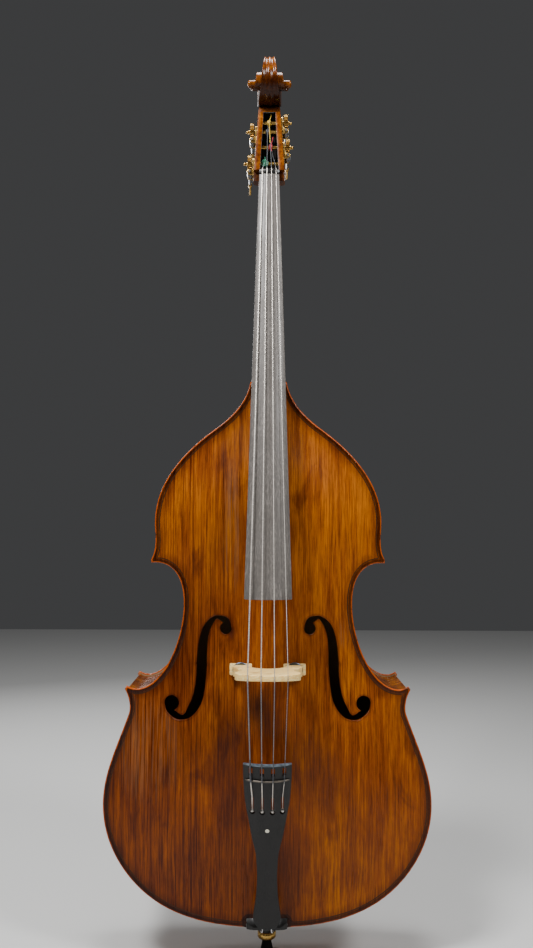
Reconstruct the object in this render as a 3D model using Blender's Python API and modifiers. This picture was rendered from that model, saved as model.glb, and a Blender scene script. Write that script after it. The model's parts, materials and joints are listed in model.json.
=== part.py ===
"""A three-quarter size double bass, built piece by piece.

World frame: metres, +Z up along the instrument, the front faces -Y and the treble side is +X.
The origin is where the endpin's rubber tip meets the floor.

The instrument is modelled in a body frame, held by the empty "body_frame": its origin is the
lowest point of the front plate, on the plane of that plate's flat edge.
"""

import math

import bmesh
import bpy
from mathutils import Matrix, Vector
from mathutils.geometry import delaunay_2d_cdt

# ---------------------------------------------------------------- driving dimensions
GAP = 0.0003                # clearance kept between neighbouring pieces
BODY_LENGTH = 1.111         # lowest edge of the plates to the neck root
FLOOR_TO_BODY = 0.085       # endpin tip to the lowest edge of the plates
PLATE_EDGE = 0.006          # thickness of both plates
TOP_ARCH = 0.033
BACK_ARCH = 0.036
OVERHANG = 0.005            # how far the plates stand over the ribs
RIB_THICKNESS = 0.0022
RIB_DEPTH = 0.186           # at the lower bout
RIB_TAPER = 0.036           # how much shallower the ribs are at the neck
TAPER_START = 0.60          # height where the back begins to slope to the neck
LINING = (0.008, 0.014)     # width and depth
BLOCK_REACH = 0.045         # how far a corner block runs from its corner
NECK_BLOCK = (1.050, 1.0902)    # lower and upper end
END_BLOCK_TOP = 0.042

STRING_NAMES = ("e", "a", "d", "g")
STRING_RADIUS = {"e": 0.0014, "a": 0.0011, "d": 0.0009, "g": 0.0007}
NUT_SPACING = {"e": -0.0147, "a": -0.0050, "d": 0.0050, "g": 0.0147}
BRIDGE_SPACING = {"e": -0.0375, "a": -0.0125, "d": 0.0125, "g": 0.0375}
TAIL_SPACING = {"e": -0.0320, "a": -0.0105, "d": 0.0105, "g": 0.0320}
BALL_SPACING = {"e": -0.0291, "a": -0.0099, "d": 0.0099, "g": 0.0291}

NUT_HEIGHT = 1.576          # middle of the nut
BOARD_TOP = 1.5707          # fingerboard, nut end
BOARD_END = 0.670           # fingerboard, free end
BOARD_WIDTH = (0.0436, 0.0925)
BOARD_RADIUS = (0.060, 0.068)

BRIDGE_Z = (0.5125, 0.534)  # tailpiece side and fingerboard side of the bridge feet
BRIDGE_TOP = 0.190          # height of the crown over the plate edge plane
CROWN_RADIUS = 0.0845
FOOT_X = 0.054              # middle of each bridge foot, either side of the centre
WHEEL = (0.0480, 0.0550)    # faces of the adjuster wheels over the plate edge plane
POST_RADIUS = 0.0040

TAIL_FOOT = (-0.0215, 0.010)    # y and z of the tailpiece's lower end
TAIL_ANGLE = math.radians(18.0)
TAIL_THICKNESS = 0.010
TAIL_LENGTH = 0.366
FRET_AT = 0.335             # along the tailpiece, from its lower end
SLOT = (0.266, 0.2985)      # middle of the ball's hole and top of its slot, along the tailpiece
TAIL_RADIUS = 0.115

ENDPIN_Y = PLATE_EDGE + GAP + RIB_DEPTH / 2
ENDPIN_RADIUS = 0.005
PLUG_BORE = 0.0053
PLUG_SHANK = 0.0150

# roller height, depth behind the pegbox front, side of its machine, middle of its winding
MACHINES = {
    "d": (1.7100, 0.0178, 1, -0.0006),
    "a": (1.6865, 0.0188, -1, -0.0040),
    "g": (1.6470, 0.0202, 1, 0.0028),
    "e": (1.6050, 0.0210, -1, -0.0100),
}
ROLLER_RADIUS = 0.0045
GEAR_TEETH = 26
GEAR_RADIUS = 0.0188
GEAR_ROOT = 0.0168
GEAR_WIDTH = 0.0083
WORM_DROP = 0.0231          # gear axle to worm axis
WORM_CORE = 0.0038
WORM_OFFSET = 0.0088        # worm axis to the pegbox side at the foot of the plate
SHAFT_RADIUS = 0.0028
KEY_REACH = 0.064           # worm to the wing of the key

PEGBOX_LOW = (1.5816, 0.0480)   # height and front of the pegbox at the nut
PEGBOX_HIGH = (1.735, 0.0950)
PEGBOX_HALF = (0.0335, 0.0245)
CAVITY_HALF = (0.0203, 0.0130)
SCROLL_CENTRE = (0.100, 1.797)  # y and z


# ---------------------------------------------------------------- colours
FINISHES = {
    "spruce": ((0.42, 0.15, 0.035), 0.30, 0.0),
    "maple": ((0.30, 0.09, 0.02), 0.28, 0.0),
    "raw_wood": ((0.62, 0.45, 0.27), 0.60, 0.0),
    "bridge_maple": ((0.80, 0.62, 0.36), 0.50, 0.0),
    "ebony": ((0.012, 0.011, 0.011), 0.35, 0.0),
    "brass": ((0.70, 0.48, 0.17), 0.28, 1.0),
    "steel": ((0.62, 0.62, 0.63), 0.25, 1.0),
    "aluminium": ((0.22, 0.23, 0.25), 0.40, 1.0),
    "string_steel": ((0.45, 0.45, 0.47), 0.35, 1.0),
    "rubber": ((0.015, 0.015, 0.015), 0.80, 0.0),
    "silk_e": ((0.01, 0.22, 0.12), 0.70, 0.0),
    "silk_a": ((0.03, 0.03, 0.04), 0.70, 0.0),
    "silk_d": ((0.75, 0.52, 0.02), 0.70, 0.0),
    "silk_g": ((0.60, 0.01, 0.04), 0.70, 0.0),
}


def finish(name):
    """The Principled material of one finish, made on first use."""
    found = bpy.data.materials.get(name)
    if found:
        return found
    colour, roughness, metallic = FINISHES[name]
    made = bpy.data.materials.new(name)
    made.use_nodes = True
    shader = made.node_tree.nodes["Principled BSDF"]
    shader.inputs["Base Color"].default_value = (*colour, 1.0)
    shader.inputs["Roughness"].default_value = roughness
    shader.inputs["Metallic"].default_value = metallic
    made.diffuse_color = (*colour, 1.0)
    return made


# ---------------------------------------------------------------- modelling helpers
def clear_scene():
    for obj in list(bpy.data.objects):
        bpy.data.objects.remove(obj)


def new_collection(name):
    made = bpy.data.collections.new(name)
    bpy.context.scene.collection.children.link(made)
    return made


def place(name, mesh, finish_name, location=(0, 0, 0), rotation=(0, 0, 0)):
    """Puts a mesh in the scene as a named piece of the bass."""
    obj = bpy.data.objects.new(name, mesh)
    PARTS.objects.link(obj)
    mesh.materials.clear()
    mesh.materials.append(finish(finish_name))
    mesh.shade_smooth()
    mesh.set_sharp_from_angle(angle=math.radians(35))
    obj.parent = BODY
    obj.location = location
    obj.rotation_euler = rotation
    return obj


def tool(mesh, location=(0, 0, 0), rotation=(0, 0, 0)):
    """Puts a mesh in the cutters' collection, hidden from renders."""
    obj = bpy.data.objects.new("cutter", mesh)
    CUTTERS.objects.link(obj)
    obj.hide_render = True
    obj.display_type = "WIRE"
    obj.parent = BODY
    obj.location = location
    obj.rotation_euler = rotation
    return obj


def boolean(obj, other, operation):
    step = obj.modifiers.new(operation.lower(), "BOOLEAN")
    step.operation = operation
    step.solver = "EXACT"
    step.object = other


def cut(obj, *others):
    for other in others:
        boolean(obj, other, "DIFFERENCE")


def join(obj, *others):
    for other in others:
        boolean(obj, other, "UNION")


def mesh_of(bm):
    mesh = bpy.data.meshes.new("shape")
    bm.to_mesh(mesh)
    bm.free()
    return mesh


def curve_to_mesh(curve):
    """The mesh of a curve, with its caps welded to its sides."""
    obj = bpy.data.objects.new("curve", curve)
    bpy.context.scene.collection.objects.link(obj)
    graph = bpy.context.evaluated_depsgraph_get()
    mesh = bpy.data.meshes.new_from_object(obj.evaluated_get(graph))
    bpy.data.objects.remove(obj)
    bm = bmesh.new()
    bm.from_mesh(mesh)
    bmesh.ops.remove_doubles(bm, verts=bm.verts, dist=0.00002)
    bpy.data.meshes.remove(mesh)
    return mesh_of(bm)


def slab(loops, low, high, plane):
    """Flat loops extruded from low to high. The plane XZ extrudes along Y, YZ along X, XY along Z."""
    curve = bpy.data.curves.new("slab", "CURVE")
    curve.dimensions = "2D"
    curve.fill_mode = "BOTH"
    curve.extrude = (high - low) / 2
    for loop in loops:
        spline = curve.splines.new("POLY")
        spline.points.add(len(loop) - 1)
        for point, (a, b) in zip(spline.points, loop):
            point.co = (a, b, 0, 1)
        spline.use_cyclic_u = True
    mesh = curve_to_mesh(curve)
    middle = (low + high) / 2
    for vertex in mesh.vertices:
        a, b, c = vertex.co
        if plane == "XZ":
            vertex.co = (a, middle - c, b)
        elif plane == "YZ":
            vertex.co = (middle + c, a, b)
        else:
            vertex.co = (a, b, middle + c)
    mesh.update()
    return mesh


def tube(points, radius):
    """A round wire along points, eight-sided."""
    curve = bpy.data.curves.new("tube", "CURVE")
    curve.dimensions = "3D"
    curve.bevel_depth = radius
    curve.bevel_resolution = 2
    curve.use_fill_caps = True
    spline = curve.splines.new("POLY")
    spline.points.add(len(points) - 1)
    for point, place_at in zip(spline.points, points):
        point.co = (*place_at, 1)
    return curve_to_mesh(curve)


def cylinder(radius, length, segments=20, axis="Z"):
    """A cylinder centred on the origin along an axis."""
    bm = bmesh.new()
    bmesh.ops.create_cone(bm, cap_ends=True, segments=segments, radius1=radius, radius2=radius,
                          depth=length)
    quarter = math.pi / 2
    turn = {"X": Matrix.Rotation(quarter, 4, "Y"), "Y": Matrix.Rotation(quarter, 4, "X"), "Z": Matrix()}
    bmesh.ops.transform(bm, matrix=turn[axis], verts=bm.verts)
    return mesh_of(bm)


def box(low, high):
    bm = bmesh.new()
    bmesh.ops.create_cube(bm, size=1)
    size = [b - a for a, b in zip(low, high)]
    middle = [(a + b) / 2 for a, b in zip(low, high)]
    bmesh.ops.scale(bm, vec=size, verts=bm.verts)
    bmesh.ops.translate(bm, vec=middle, verts=bm.verts)
    return mesh_of(bm)


def ball(radius, segments=12, rings=8):
    bm = bmesh.new()
    bmesh.ops.create_uvsphere(bm, u_segments=segments, v_segments=rings, radius=radius)
    return mesh_of(bm)


def turned(name, profile, finish_name, location, rotation=(0, 0, 0), steps=20, closed=False, parts=True):
    """A profile of (radius, height) points, top to bottom, turned round Z with a Screw modifier."""
    bm = bmesh.new()
    points = [bm.verts.new((radius, 0, height)) for radius, height in profile]
    for a, b in zip(points, points[1:] + (points[:1] if closed else [])):
        bm.edges.new((a, b))
    mesh = mesh_of(bm)
    obj = place(name, mesh, finish_name, location, rotation) if parts else tool(mesh, location, rotation)
    screw = obj.modifiers.new("turn", "SCREW")
    screw.steps = steps
    screw.render_steps = steps
    screw.use_merge_vertices = True
    screw.merge_threshold = 0.00005
    screw.use_smooth_shade = True
    return obj


def loft(rings):
    """A closed skin over rings of equal point counts, capped at both ends."""
    bm = bmesh.new()
    rows = [[bm.verts.new(point) for point in ring] for ring in rings]
    count = len(rows[0])
    for low, high in zip(rows, rows[1:]):
        for i in range(count):
            j = (i + 1) % count
            bm.faces.new((low[i], low[j], high[j], high[i]))
    bm.faces.new(list(reversed(rows[0])))
    bm.faces.new(rows[-1])
    bmesh.ops.recalc_face_normals(bm, faces=bm.faces)
    return mesh_of(bm)


def mix(a, b, t):
    return a + (b - a) * t


def share(value, low, high):
    """Where a value lies between two others, held to 0..1."""
    return min(1.0, max(0.0, (value - low) / (high - low)))


# ---------------------------------------------------------------- body outline
def bezier(p0, p1, p2, p3, steps):
    """Points of one cubic, without its first."""
    points = []
    for i in range(1, steps + 1):
        t = i / steps
        s = 1 - t
        weights = (s * s * s, 3 * s * s * t, 3 * s * t * t, t * t * t)
        points.append(tuple(sum(w * p[k] for w, p in zip(weights, (p0, p1, p2, p3))) for k in (0, 1)))
    return points


def millimetres(*points):
    return [(x / 1000, z / 1000) for x, z in points]


NECK_ROOT = (0.038, BODY_LENGTH)
UPPER_CORNER = millimetres((241.5, 741), (241.3, 734))
LOWER_CORNER = millimetres((289, 483), (293, 476))


def upper_curve():
    """Treble side, from the neck root over the shoulder to the upper corner."""
    a = millimetres((45, 1068), (77, 1037), (107, 1014.5))
    b = millimetres((180, 962), (234.5, 898), (234.5, 818))
    c = millimetres((234.5, 795), (228, 765))
    points = [NECK_ROOT] + bezier(NECK_ROOT, *a, 3) + bezier(a[2], *b, 6)
    return points + bezier(b[2], *c, UPPER_CORNER[0], 3)


def middle_curve():
    """Treble side, round the waist from the upper corner to the lower corner."""
    a = millimetres((210, 739), (173.5, 720), (173.5, 650))
    b = millimetres((173.5, 575), (214, 479), (268, 476.6))
    c = millimetres((276, 476.6), (283, 479))
    points = [UPPER_CORNER[1]] + bezier(UPPER_CORNER[1], *a, 5) + bezier(a[2], *b, 6)
    return points + bezier(b[2], *c, LOWER_CORNER[0], 2)


def lower_curve():
    """Treble side, from the lower corner round the lower bout to the bottom middle."""
    a = millimetres((283, 459), (280, 438), (284.5, 425))
    b = millimetres((311, 352), (335, 305), (335, 245))
    c = millimetres((335, 165), (290, 99), (238, 60))
    d = millimetres((174, 12), (90, 0), (0, 0))
    points = [LOWER_CORNER[1]] + bezier(LOWER_CORNER[1], *a, 3) + bezier(a[2], *b, 4)
    return points + bezier(b[2], *c, 5) + bezier(c[2], *d, 5)


def mirrored(points):
    return [(-x, z) for x, z in reversed(points)]


def body_outline(top=()):
    """The closed outline of a plate, with any points of its own across the neck root."""
    half = upper_curve() + middle_curve() + lower_curve()
    return list(top) + half + mirrored(half[:-1])


def offset(points, distance):
    """An open path moved to its right, looking along it."""
    moved = []
    for i, (x, z) in enumerate(points):
        before = points[max(i - 1, 0)]
        after = points[min(i + 1, len(points) - 1)]
        along = Vector((after[0] - before[0], after[1] - before[1])).normalized()
        moved.append((x + along.y * distance, z - along.x * distance))
    return moved


def extended(points, length):
    """A path with one more point in line past each end."""
    first = Vector(points[0]) + (Vector(points[0]) - Vector(points[1])).normalized() * length
    last = Vector(points[-1]) + (Vector(points[-1]) - Vector(points[-2])).normalized() * length
    return [tuple(first)] + list(points) + [tuple(last)]


def cut_path(points, anchor, normal):
    """The part of a path on the positive side of a line."""
    kept = []
    for a, b in zip(points, points[1:]):
        da = (Vector(a) - anchor).dot(normal)
        db = (Vector(b) - anchor).dot(normal)
        if da >= 0 and not kept:
            kept.append(a)
        if (da < 0) != (db < 0):
            t = da / (da - db)
            kept.append((mix(a[0], b[0], t), mix(a[1], b[1], t)))
        if db >= 0:
            kept.append(b)
    return kept


def inside(point, loop):
    x, z = point
    found = False
    for (x0, z0), (x1, z1) in zip(loop, loop[1:] + loop[:1]):
        if (z0 > z) != (z1 > z) and x < mix(x0, x1, (z - z0) / (z1 - z0)):
            found = not found
    return found


def distance_to(point, loop):
    """The shortest distance from a point to a closed loop."""
    best = 1.0
    px, pz = point
    for (x0, z0), (x1, z1) in zip(loop, loop[1:] + loop[:1]):
        dx, dz = x1 - x0, z1 - z0
        t = share((px - x0) * dx + (pz - z0) * dz, 0, dx * dx + dz * dz or 1.0)
        best = min(best, math.hypot(px - x0 - t * dx, pz - z0 - t * dz))
    return best


def arch(x, z, height):
    """Height of a plate's arching over its edge."""
    rise = share(distance_to((x, z), OUTLINE), 0.014, 0.150)
    crown = (1 - (x / 0.36) ** 2) * (1 - ((z - 0.56) / 0.66) ** 2)
    return height * rise * rise * (3 - 2 * rise) * (0.74 + 0.26 * crown)


def back_edge(z):
    """The ribs' rear edge, which slopes forward towards the neck."""
    slope = share(z, TAPER_START, BODY_LENGTH)
    return PLATE_EDGE + GAP + RIB_DEPTH - RIB_TAPER * slope * slope


def top_surface(x, z):
    return -arch(x, z, TOP_ARCH)


def back_surface(x, z):
    return back_edge(z) + GAP + PLATE_EDGE + arch(x, z, BACK_ARCH)


# ---------------------------------------------------------------- plates
def sound_hole():
    """Treble-side f-hole: a stem, two hooked ends and an eye at each."""
    def eye(centre, radius, start, end, steps):
        angles = [math.radians(mix(start, end, i / steps)) for i in range(steps + 1)]
        return [(centre[0] + radius * math.cos(a), centre[1] + radius * math.sin(a)) for a in angles]

    upper_eye = eye((0.0854, 0.6024), 0.0118, 62, -205, 8)
    lower_eye = eye((0.1957, 0.4500), 0.0148, -17, 246, 8)
    inner_side = millimetres((103.4, 621), (110, 614.5), (117, 601), (121.6, 585), (123.6, 560),
                             (124, 530), (125.5, 501), (129.5, 469), (136.5, 447.5), (149.4, 429.6))
    lower_hook = millimetres((163, 420.6), (181.2, 418.4), (196, 424.6), (206.5, 435.5))
    outer_side = millimetres((172.2, 427.0), (161.5, 443.2), (152, 465.4), (146, 499.5), (144.8, 534.8),
                             (142.8, 562), (136.8, 592), (128.3, 610))
    upper_hook = millimetres((116.5, 621.7), (103, 627.5), (89.6, 626.7), (79, 620))
    return list(reversed(upper_eye)) + inner_side + lower_hook + lower_eye + outer_side + upper_hook


def plate(name, surface, outline, holes, facing, finish_name):
    """An arched plate: a triangulated sheet given its thickness by Solidify."""
    loops = [outline] + holes
    points, edges = [], []
    for loop in loops:
        start = len(points)
        points += [Vector(p) for p in loop]
        edges += [(start + i, start + (i + 1) % len(loop)) for i in range(len(loop))]
    margin = 0.0135
    closed = OUTLINE + OUTLINE[:1]
    rim = [p for p in offset(closed, 0.014) if inside(p, outline) and distance_to(p, outline) >= margin]
    spacing = 0.052
    rows = int(BODY_LENGTH / (spacing * 0.866)) + 1
    grid = []
    for row in range(rows):
        for column in range(-7, 8):
            grid.append(((column + (row % 2) / 2) * spacing, 0.02 + row * spacing * 0.866))
    for p in rim + [p for p in grid if inside(p, outline) and distance_to(p, outline) > 0.024]:
        if all(not inside(p, hole) and distance_to(p, hole) > 0.012 for hole in holes):
            points.append(Vector(p))
    verts, _, faces, _, _, _ = delaunay_2d_cdt(points, edges, [], 0, 1e-6)
    bm = bmesh.new()
    made = [bm.verts.new((v.x, surface(v.x, v.y), v.y)) for v in verts]
    for face in faces:
        middle = sum((verts[i] for i in face), Vector((0, 0))) / len(face)
        if inside(middle, outline) and not any(inside(middle, hole) for hole in holes):
            bm.faces.new([made[i] for i in face])
    bmesh.ops.delete(bm, geom=[v for v in bm.verts if not v.link_faces], context="VERTS")
    bm.normal_update()
    if sum(face.normal.y for face in bm.faces) * facing < 0:
        bmesh.ops.reverse_faces(bm, faces=bm.faces)
    obj = place(name, mesh_of(bm), finish_name)
    wall = obj.modifiers.new("thickness", "SOLIDIFY")
    wall.thickness = PLATE_EDGE
    wall.offset = -1
    return obj


def build_plates():
    saddle_notch = [(-0.0413, 0), (-0.0413, 0.0192), (0.0413, 0.0192), (0.0413, 0)]
    half = upper_curve() + middle_curve() + lower_curve()
    half = [p for p in half if p[0] > 0.05 or p[1] > 0.5]
    front = half + list(reversed(saddle_notch)) + mirrored(half)
    hole = sound_hole()
    plate("top_plate", top_surface, front, [hole, mirrored(hole)], -1, "spruce")
    button = [(0.022 * math.cos(a), BODY_LENGTH + 0.006 + 0.022 * math.sin(a))
              for a in (math.pi * (8 - i) / 8 for i in range(9))]
    plate("back_plate", back_surface, body_outline(button), [], 1, "maple")


# ---------------------------------------------------------------- ribs, linings and blocks
def corner_line(corner, upper, lower):
    """The mitre line of a corner: its point and its direction into the body."""
    tip = (Vector(corner[0]) + Vector(corner[1])) / 2
    a = (Vector(upper[-3]) - tip).normalized()
    b = (Vector(lower[2]) - tip).normalized()
    return tip, (a + b).normalized()


def trimmed(curve, depth, starts, ends, gap=0.00015):
    """A curve moved inwards by a depth and cut off at the mitre lines at its ends."""
    path = extended(offset(curve, depth), 0.03)
    middle = Vector(curve[len(curve) // 2])
    for line in (starts, ends):
        if line:
            anchor, along = line
            normal = Vector((-along.y, along.x))
            if (middle - anchor).dot(normal) < 0:
                normal = -normal
            path = cut_path(path, anchor + normal * gap, normal)
    return path


def follow_back(mesh, low_end, offset_y=0.0):
    """Moves the rear vertices of a slab to the sloping rear edge of the ribs."""
    for vertex in mesh.vertices:
        if vertex.co.y > low_end:
            vertex.co.y = back_edge(vertex.co.z) + offset_y
    mesh.update()
    return mesh


def build_rib(name, curve, starts, ends, side, notch=None):
    outer = trimmed(curve, OVERHANG, starts, ends)
    inner = trimmed(curve, OVERHANG + RIB_THICKNESS, starts, ends)
    loop = outer + list(reversed(inner))
    if side < 0:
        loop = mirrored(loop)
    front = PLATE_EDGE + GAP
    obj = place(name, follow_back(slab([loop], front, 0.15, "XZ"), 0.1), "maple")
    if notch:
        cut(obj, notch)
    return obj


def middle_line(z):
    """A vertical line on the centre plane, as a mitre line."""
    return Vector((0, z)), Vector((0, 1))


def build_ribs():
    upper, middle, lower = upper_curve(), middle_curve(), lower_curve()
    upper_mitre = corner_line(UPPER_CORNER, upper, middle)
    lower_mitre = corner_line(LOWER_CORNER, middle, lower)
    top_line = (Vector((0, BODY_LENGTH - 0.0025)), Vector((1, 0)))
    bore = tool(cylinder(PLUG_SHANK + GAP, 0.1, 24), (0, ENDPIN_Y, 0.03))
    for side, word in ((-1, "bass"), (1, "treble")):
        build_rib("upper_rib_" + word, upper, top_line, upper_mitre, side)
        build_rib("centre_rib_" + word, middle, upper_mitre, lower_mitre, side)
        build_rib("lower_rib_" + word, lower, lower_mitre, middle_line(0.0), side, bore)


def block_paths():
    """Paths a gap inside the ribs, and the two corner tips."""
    depth = OVERHANG + RIB_THICKNESS + GAP
    upper, middle, lower = upper_curve(), middle_curve(), lower_curve()
    upper_mitre = corner_line(UPPER_CORNER, upper, middle)
    lower_mitre = corner_line(LOWER_CORNER, middle, lower)
    top_line = (Vector((0, BODY_LENGTH - 0.0025)), Vector((1, 0)))
    return (trimmed(upper, depth, top_line, upper_mitre, 0),
            trimmed(middle, depth, upper_mitre, lower_mitre, 0),
            trimmed(lower, depth, lower_mitre, middle_line(0.0), 0),
            upper_mitre[0], lower_mitre[0])


def near(path, tip, reach):
    return [p for p in path if (Vector(p) - tip).length < reach]


def far(path, *tips):
    return [p for p in path if all((Vector(p) - tip).length > BLOCK_REACH + 0.006 for tip in tips)]


def build_blocks():
    upper, middle, lower, upper_tip, lower_tip = block_paths()
    front = PLATE_EDGE + 2 * GAP
    corners = (("upper", near(upper, upper_tip, BLOCK_REACH), near(middle, upper_tip, BLOCK_REACH)),
               ("lower", near(middle, lower_tip, BLOCK_REACH), near(lower, lower_tip, BLOCK_REACH)))
    for level, before, after in corners:
        loop = before + after[1:]
        for side, word in ((-1, "bass"), (1, "treble")):
            shape = loop if side > 0 else mirrored(loop)
            mesh = follow_back(slab([shape], front, 0.15, "XZ"), 0.1, -GAP)
            place("corner_block_" + level + "_" + word, mesh, "raw_wood")

    neck_half = [p for p in upper if NECK_BLOCK[0] < p[1] < NECK_BLOCK[1]]
    start = at_height(upper, NECK_BLOCK[1])
    end = at_height(upper, NECK_BLOCK[0])
    half = [start] + neck_half + [end]
    mesh = follow_back(slab([half + mirrored(half)], front, 0.12, "XZ"), 0.1, -GAP)
    place("neck_block", mesh, "raw_wood")

    bottom = [p for p in lower if p[0] < 0.075 and p[1] < 0.1]
    half = [(bottom[0][0], END_BLOCK_TOP)] + bottom
    loop = half + mirrored(half)[1:]
    obj = place("end_block", follow_back(slab([loop], front, 0.15, "XZ"), 0.1, -GAP), "raw_wood")
    cut(obj, tool(cylinder(PLUG_SHANK + GAP, 0.2, 24), (0, ENDPIN_Y, 0.03)))


def at_height(path, height):
    """The point of a descending path at a height."""
    for (x0, z0), (x1, z1) in zip(path, path[1:]):
        if z0 >= height >= z1:
            return (mix(x0, x1, (z0 - height) / (z0 - z1)), height)
    return path[-1]


def build_linings():
    """A strip inside each edge of the ribs, one ring at the front and one at the back."""
    upper, middle, lower, upper_tip, lower_tip = block_paths()
    slack = 0.0004
    upper = offset(upper, slack)
    top = at_height(upper, NECK_BLOCK[0] - GAP * 2)
    upper = [p for p in upper if p[1] < top[1] - 0.004]
    lower = [p for p in offset(lower, slack) if p[0] > 0.080 or p[1] > 0.1]
    half = [top]
    half += far(upper, upper_tip) + far(offset(middle, slack), upper_tip, lower_tip)
    half += far(lower, lower_tip) + [(0.081, END_BLOCK_TOP + 0.0008), (0.0, END_BLOCK_TOP + 0.0008)]
    ring = half + mirrored(half)[1:]
    closed = ring[-1:] + ring + ring[:1]
    inner = offset(closed, LINING[0])[1:-1]
    front = PLATE_EDGE + 2 * GAP
    place("front_lining", slab([ring, inner], front, front + LINING[1], "XZ"), "raw_wood")
    mesh = slab([ring, inner], 0.10, 0.12, "XZ")
    for vertex in mesh.vertices:
        depth = 0 if vertex.co.y > 0.11 else LINING[1]
        vertex.co.y = back_edge(vertex.co.z) - GAP - depth
    place("back_lining", mesh, "raw_wood")


def build_bar_and_post():
    """The bass bar under the front plate and the sound post behind the treble foot."""
    x, half, low, high, count = -0.050, 0.011, 0.20, 0.905, 12
    slack = PLATE_EDGE * 1.12 + 7 * GAP
    heights = [mix(low, high, i / count) for i in range(count + 1)]
    fixed = [(max(top_surface(x - half, z), top_surface(x + half, z)) + slack, z) for z in heights]
    free = []
    for (y, z), i in zip(fixed, range(count + 1)):
        t = i / count
        free.append((y + 0.006 + 0.024 * math.sin(math.pi * t), z))
    place("bass_bar", slab([fixed + list(reversed(free))], x - half, x + half, "YZ"), "raw_wood")

    post_x, post_z, radius = 0.046, 0.492, 0.009
    front = max(top_surface(post_x + dx, post_z) for dx in (-radius, radius)) + slack
    rear = min(back_surface(post_x + dx, post_z) for dx in (-radius, radius)) - slack
    mesh = cylinder(radius, rear - front, 16, "Y")
    place("sound_post", mesh, "raw_wood", (post_x, (front + rear) / 2, post_z))


# ---------------------------------------------------------------- fingerboard, nut and neck
def board_middle(z):
    """The fingerboard's surface along its middle."""
    return 0.042 + (z - NUT_HEIGHT) * 0.2119


def board_under(z):
    return 0.056 + (z - NUT_HEIGHT) * 0.1987


def board_share(z):
    return share(BOARD_TOP - z, 0, BOARD_TOP - BOARD_END)


def board_half(z):
    return mix(BOARD_WIDTH[0], BOARD_WIDTH[1], board_share(z)) / 2


def build_fingerboard():
    rings = []
    for i in range(5):
        z = mix(BOARD_END, BOARD_TOP, i / 4)
        half, radius = board_half(z), mix(BOARD_RADIUS[0], BOARD_RADIUS[1], board_share(z))
        xs = [half * k / 4 for k in range(-4, 5)]
        top = [(x, board_middle(z) + radius - math.sqrt(radius * radius - x * x), z) for x in xs]
        rings.append(top + [(half, board_under(z), z), (-half, board_under(z), z)])
    place("fingerboard", loft(rings), "ebony")


def build_nut():
    half = BOARD_WIDTH[0] / 2
    xs = [half * k / 4 for k in range(-4, 5)]
    top = [(x, nut_top(x)) for x in xs]
    loop = top + [(half, board_under(BOARD_TOP)), (-half, board_under(BOARD_TOP))]
    place("nut", slab([loop], BOARD_TOP + GAP, BOARD_TOP + 0.0103, "XY"), "ebony")


def nut_top(x):
    return board_middle(NUT_HEIGHT) - 0.0022 + x * x / (2 * BOARD_RADIUS[0])


def neck_rings():
    """Level sections of the neck shaft and heel, from the body up to the pegbox."""
    rear = back_edge(BODY_LENGTH)
    heel = ((BODY_LENGTH + 0.0006, rear), (1.137, rear), (1.143, rear - 0.008), (1.154, 0.118),
            (1.168, 0.086), (1.186, 0.058), (1.210, 0.036))
    shaft = ((1.245, 0.0320), (1.35, 0.0300), (1.47, 0.0285), (1.572, 0.0285))
    stations = [(z, y - board_under(z)) for z, y in heel] + list(shaft)
    shape = ((1.0, 0.0), (1.0, 0.32), (0.88, 0.62), (0.66, 0.84), (0.34, 1.0))
    rings = []
    for z, depth in stations:
        half = board_half(z) - GAP
        front = board_under(z) + GAP
        right = [(half * a, front + (depth - GAP) * b, z) for a, b in shape]
        left = [(-x, y, z) for x, y, z in reversed(right)]
        rings.append(right + left)
    return rings


def widened(mesh, half):
    """Scales a slab of half-width one to the half-widths of the pegbox, which narrows upwards."""
    for vertex in mesh.vertices:
        t = (vertex.co.z - PEGBOX_LOW[0]) / (PEGBOX_HIGH[0] - PEGBOX_LOW[0])
        vertex.co.x *= mix(half[0], half[1], t)
    mesh.update()
    return mesh


def pegbox_side(z):
    """Half the outer width of the pegbox."""
    t = (z - PEGBOX_LOW[0]) / (PEGBOX_HIGH[0] - PEGBOX_LOW[0])
    return mix(PEGBOX_HALF[0], PEGBOX_HALF[1], t)


def pegbox_front(z):
    t = (z - PEGBOX_LOW[0]) / (PEGBOX_HIGH[0] - PEGBOX_LOW[0])
    return mix(PEGBOX_LOW[1], PEGBOX_HIGH[1], t)


def roller_place(name):
    z, depth, side, _ = MACHINES[name]
    return pegbox_front(z) + depth, z, side


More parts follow.
